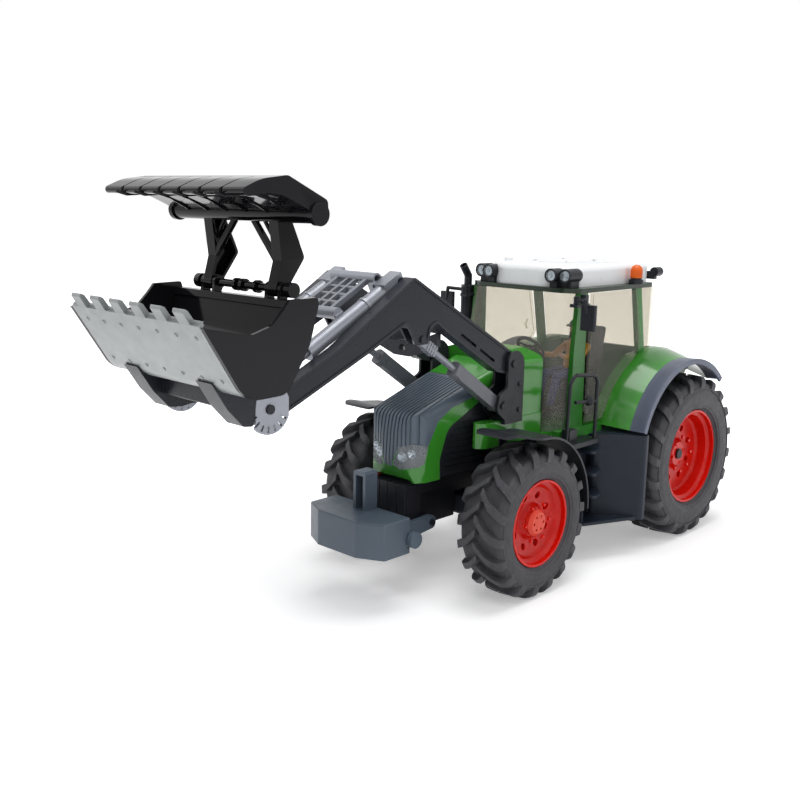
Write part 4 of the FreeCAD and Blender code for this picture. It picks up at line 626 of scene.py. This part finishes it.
def beacon_inside():
    """Reflector post inside the orange dome."""
    base = middle("beacon_dome")
    base.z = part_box("beacon_dome")[0].z
    lamp = Moulding("beacon_reflector", "chassis", CHROME, "silver")
    lamp.spin(base, (0, 0, 1), [(0.2, 2.6), (0.8, 2.6), (1.0, 1.1), (4.6, 1.1), (5.4, 0.7)], 24)
    lamp.done()


def bucket_rivets():
    """Two rows of rivets across the wear plate, at two distances from its lip."""
    slope = math.atan2(27.5, 17.7)
    lip_f, lip_z = BUCKET_HINGE_F + 55.2, BUCKET_HINGE_Z + 48.7
    normal = (0, -math.sin(slope), -math.cos(slope))
    head = [(0.0, 1.25), (0.45, 1.15), (0.75, 0.7)]
    sink = 0.2
    rivets = Moulding("wear_plate_rivets", "bucket", WEAR, "silver")
    for i in range(7):
        x = (i - 3) * 16.6
        for run in (7.5, 34.0):
            f = lip_f - math.cos(slope) * run
            z = lip_z - math.sin(slope) * run
            rivets.spin(at(x, f - math.sin(slope) * sink, z + math.cos(slope) * sink), normal, head, 16)
    rivets.done()


def cab_levers():
    """Side consoles by the seat, with three control levers on one of them."""
    console = Moulding("lever_console", "chassis", DARK, "dark")
    console.block(17.5, 24.5, 44, 74, 95, 118)
    console.block(-24.5, -17.5, 44, 66, 95, 116)
    console.done(bevel=1.2)
    levers = Moulding("control_levers", "chassis", BLACK, "black")
    knob = [(0, 0.7), (0.8, 1.4), (2.4, 1.5), (3.4, 0.8)]
    for f, lean in ((52, 1.5), (60, 2.5), (68, 3.5)):
        limb(levers, (21, f, 117.5), (20.6, f + lean, 127), 0.55, 0.5)
        levers.spin(at(20.6, f + lean, 126), (0, 0.1, 1), knob, 14)
    levers.done()


def console_bolts():
    """Hexagon bolt heads on the outer faces of the loader consoles."""
    bolts = Moulding("console_bolts", "chassis", ANTHRACITE, "dark")
    pin_beyond_face = 1.15
    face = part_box("loader_consoles")[1].x / MM - pin_beyond_face
    for f, z in ((168.5, 116.5), (168.5, 134.0), (184.5, 122.5)):
        bolt(bolts, at(face, f, z), (1, 0, 0), 1.7, 1.3)
    bolts.mirrored()
    bolts.done()


def wiper():
    """Wiper arm, its blade and its pivot on the windscreen."""
    arm = Moulding("windscreen_wiper", "chassis", DARK, "dark")
    path = [(4, 134.6, 101), (20, 134.6, 112), (26, 134.2, 130)]
    for start, end in zip(path[:-1], path[1:]):
        limb(arm, start, end, 0.55, 0.5)
    limb(arm, (19, 134.6, 116), (32, 133.9, 146), 0.5, 0.45)
    arm.spin(at(4, 133.4, 101), (0, -1, 0), [(0, 2.0), (1.4, 1.8)], 20)
    arm.done()


for build in (wheels, driver, headlight_reflectors, roof_lamp_reflectors, mirror_faces, wiper,
              jaw_ribs, roof_details, beacon_inside, bucket_rivets, cab_levers, console_bolts):
    build()


# --- studio ------------------------------------------------------------------------
GROUND_GLOW = 0.34      # what the ground adds for the camera near the object, where its shadow shows
GLOW_NEAR, GLOW_FAR = 0.22, 0.36    # metres from the object's middle: the glow rises to 1 between them


def background_rays(tree):
    """1 for rays from the camera, a glossy surface or a clear one, else 0."""
    path = tree.nodes.new("ShaderNodeLightPath")
    seen = path.outputs["Is Camera Ray"]
    for ray in ("Is Glossy Ray", "Is Transmission Ray"):
        either = tree.nodes.new("ShaderNodeMath")
        either.operation = "MAXIMUM"
        tree.links.new(seen, either.inputs[0])
        tree.links.new(path.outputs[ray], either.inputs[1])
        seen = either.outputs["Value"]
    return seen


def ground():
    """Pale ground that the camera and mirror rays see as white away from the object."""
    size = 4.0
    corners = [(-size, -size, 0), (size, -size, 0), (size, size, 0), (-size, size, 0)]
    mesh = bpy.data.meshes.new("ground")
    mesh.from_pydata(corners, [], [(0, 1, 2, 3)])
    floor = bpy.data.objects.new("ground", mesh)
    bpy.context.scene.collection.objects.link(floor)
    material, tree, shader = new_material("ground_white")
    shader.inputs["Base Color"].default_value = (0.86, 0.86, 0.87, 1)
    shader.inputs["Roughness"].default_value = 0.7
    shader.inputs["Specular IOR Level"].default_value = 0.1
    glow = tree.nodes.new("ShaderNodeEmission")
    glow.inputs["Color"].default_value = WHITE_LIGHT
    place = tree.nodes.new("ShaderNodeNewGeometry")
    reach = tree.nodes.new("ShaderNodeVectorMath")
    reach.operation = "DISTANCE"
    reach.inputs[1].default_value = at(0, 105, 0)
    tree.links.new(place.outputs["Position"], reach.inputs[0])
    strength = tree.nodes.new("ShaderNodeMath")
    strength.operation = "MULTIPLY"
    tree.links.new(background_rays(tree), strength.inputs[0])
    near = remap(tree, reach.outputs["Value"], GLOW_NEAR, GLOW_FAR, GROUND_GLOW, 1.0)
    tree.links.new(near, strength.inputs[1])
    tree.links.new(strength.outputs["Value"], glow.inputs["Strength"])
    both = tree.nodes.new("ShaderNodeAddShader")
    tree.links.new(shader.outputs["BSDF"], both.inputs[0])
    tree.links.new(glow.outputs["Emission"], both.inputs[1])
    tree.links.new(both.outputs["Shader"], tree.nodes["Material Output"].inputs["Surface"])
    mesh.materials.append(material)


def background(tree, strength):
    node = tree.nodes.new("ShaderNodeBackground")
    node.inputs["Color"].default_value = WHITE_LIGHT
    node.inputs["Strength"].default_value = strength
    return node.outputs["Background"]


def sky():
    """Soft light on the object, and plain white behind it."""
    world = bpy.data.worlds.new("sky")
    bpy.context.scene.world = world
    world.use_nodes = True
    tree = world.node_tree
    tree.nodes.clear()
    both = tree.nodes.new("ShaderNodeMixShader")
    tree.links.new(background_rays(tree), both.inputs["Fac"])
    tree.links.new(background(tree, 0.4), both.inputs[1])
    tree.links.new(background(tree, 1.0), both.inputs[2])
    output = tree.nodes.new("ShaderNodeOutputWorld")
    tree.links.new(both.outputs["Shader"], output.inputs["Surface"])


def soft_box(name, where, aim, width, height, power):
    lamp = bpy.data.lights.new(name, "AREA")
    lamp.shape = "RECTANGLE"
    lamp.size = width
    lamp.size_y = height
    lamp.energy = power
    item = bpy.data.objects.new(name, lamp)
    bpy.context.scene.collection.objects.link(item)
    item.location = where
    item.rotation_mode = "QUATERNION"
    item.rotation_quaternion = (Vector(aim) - Vector(where)).to_track_quat("-Z", "Y")


def lights():
    aim = (0, -0.02, 0.1)
    soft_box("top", (0.05, 0.12, 1.35), aim, 0.75, 0.75, 9.5)
    soft_box("key", (0.5, -0.8, 1.2), aim, 0.7, 0.6, 4.5)
    soft_box("fill", (1.3, 0.3, 0.6), aim, 0.8, 0.8, 2.0)
    soft_box("side", (-1.2, -0.5, 0.7), aim, 0.7, 0.9, 2.0)


CAMERA_PLACE = (441.6, 702.4, 253.8)    # across, ahead of the rear axle, up: millimetres
CAMERA_AIM = (0, 241.9, 126.4)
CAMERA_ROLL = math.radians(1.04)


def camera():
    data = bpy.data.cameras.new("camera")
    data.sensor_width = 36.0
    data.lens = 45.23
    item = bpy.data.objects.new("camera", data)
    bpy.context.scene.collection.objects.link(item)
    item.location = at(*CAMERA_PLACE)
    aim = at(*CAMERA_AIM) - item.location
    roll = Matrix.Rotation(CAMERA_ROLL, 3, "Z").to_quaternion()
    item.rotation_mode = "QUATERNION"
    item.rotation_quaternion = aim.to_track_quat("-Z", "Y") @ roll
    bpy.context.scene.camera = item


ground()
sky()
lights()
camera()
bpy.context.scene.view_settings.view_transform = "Standard"
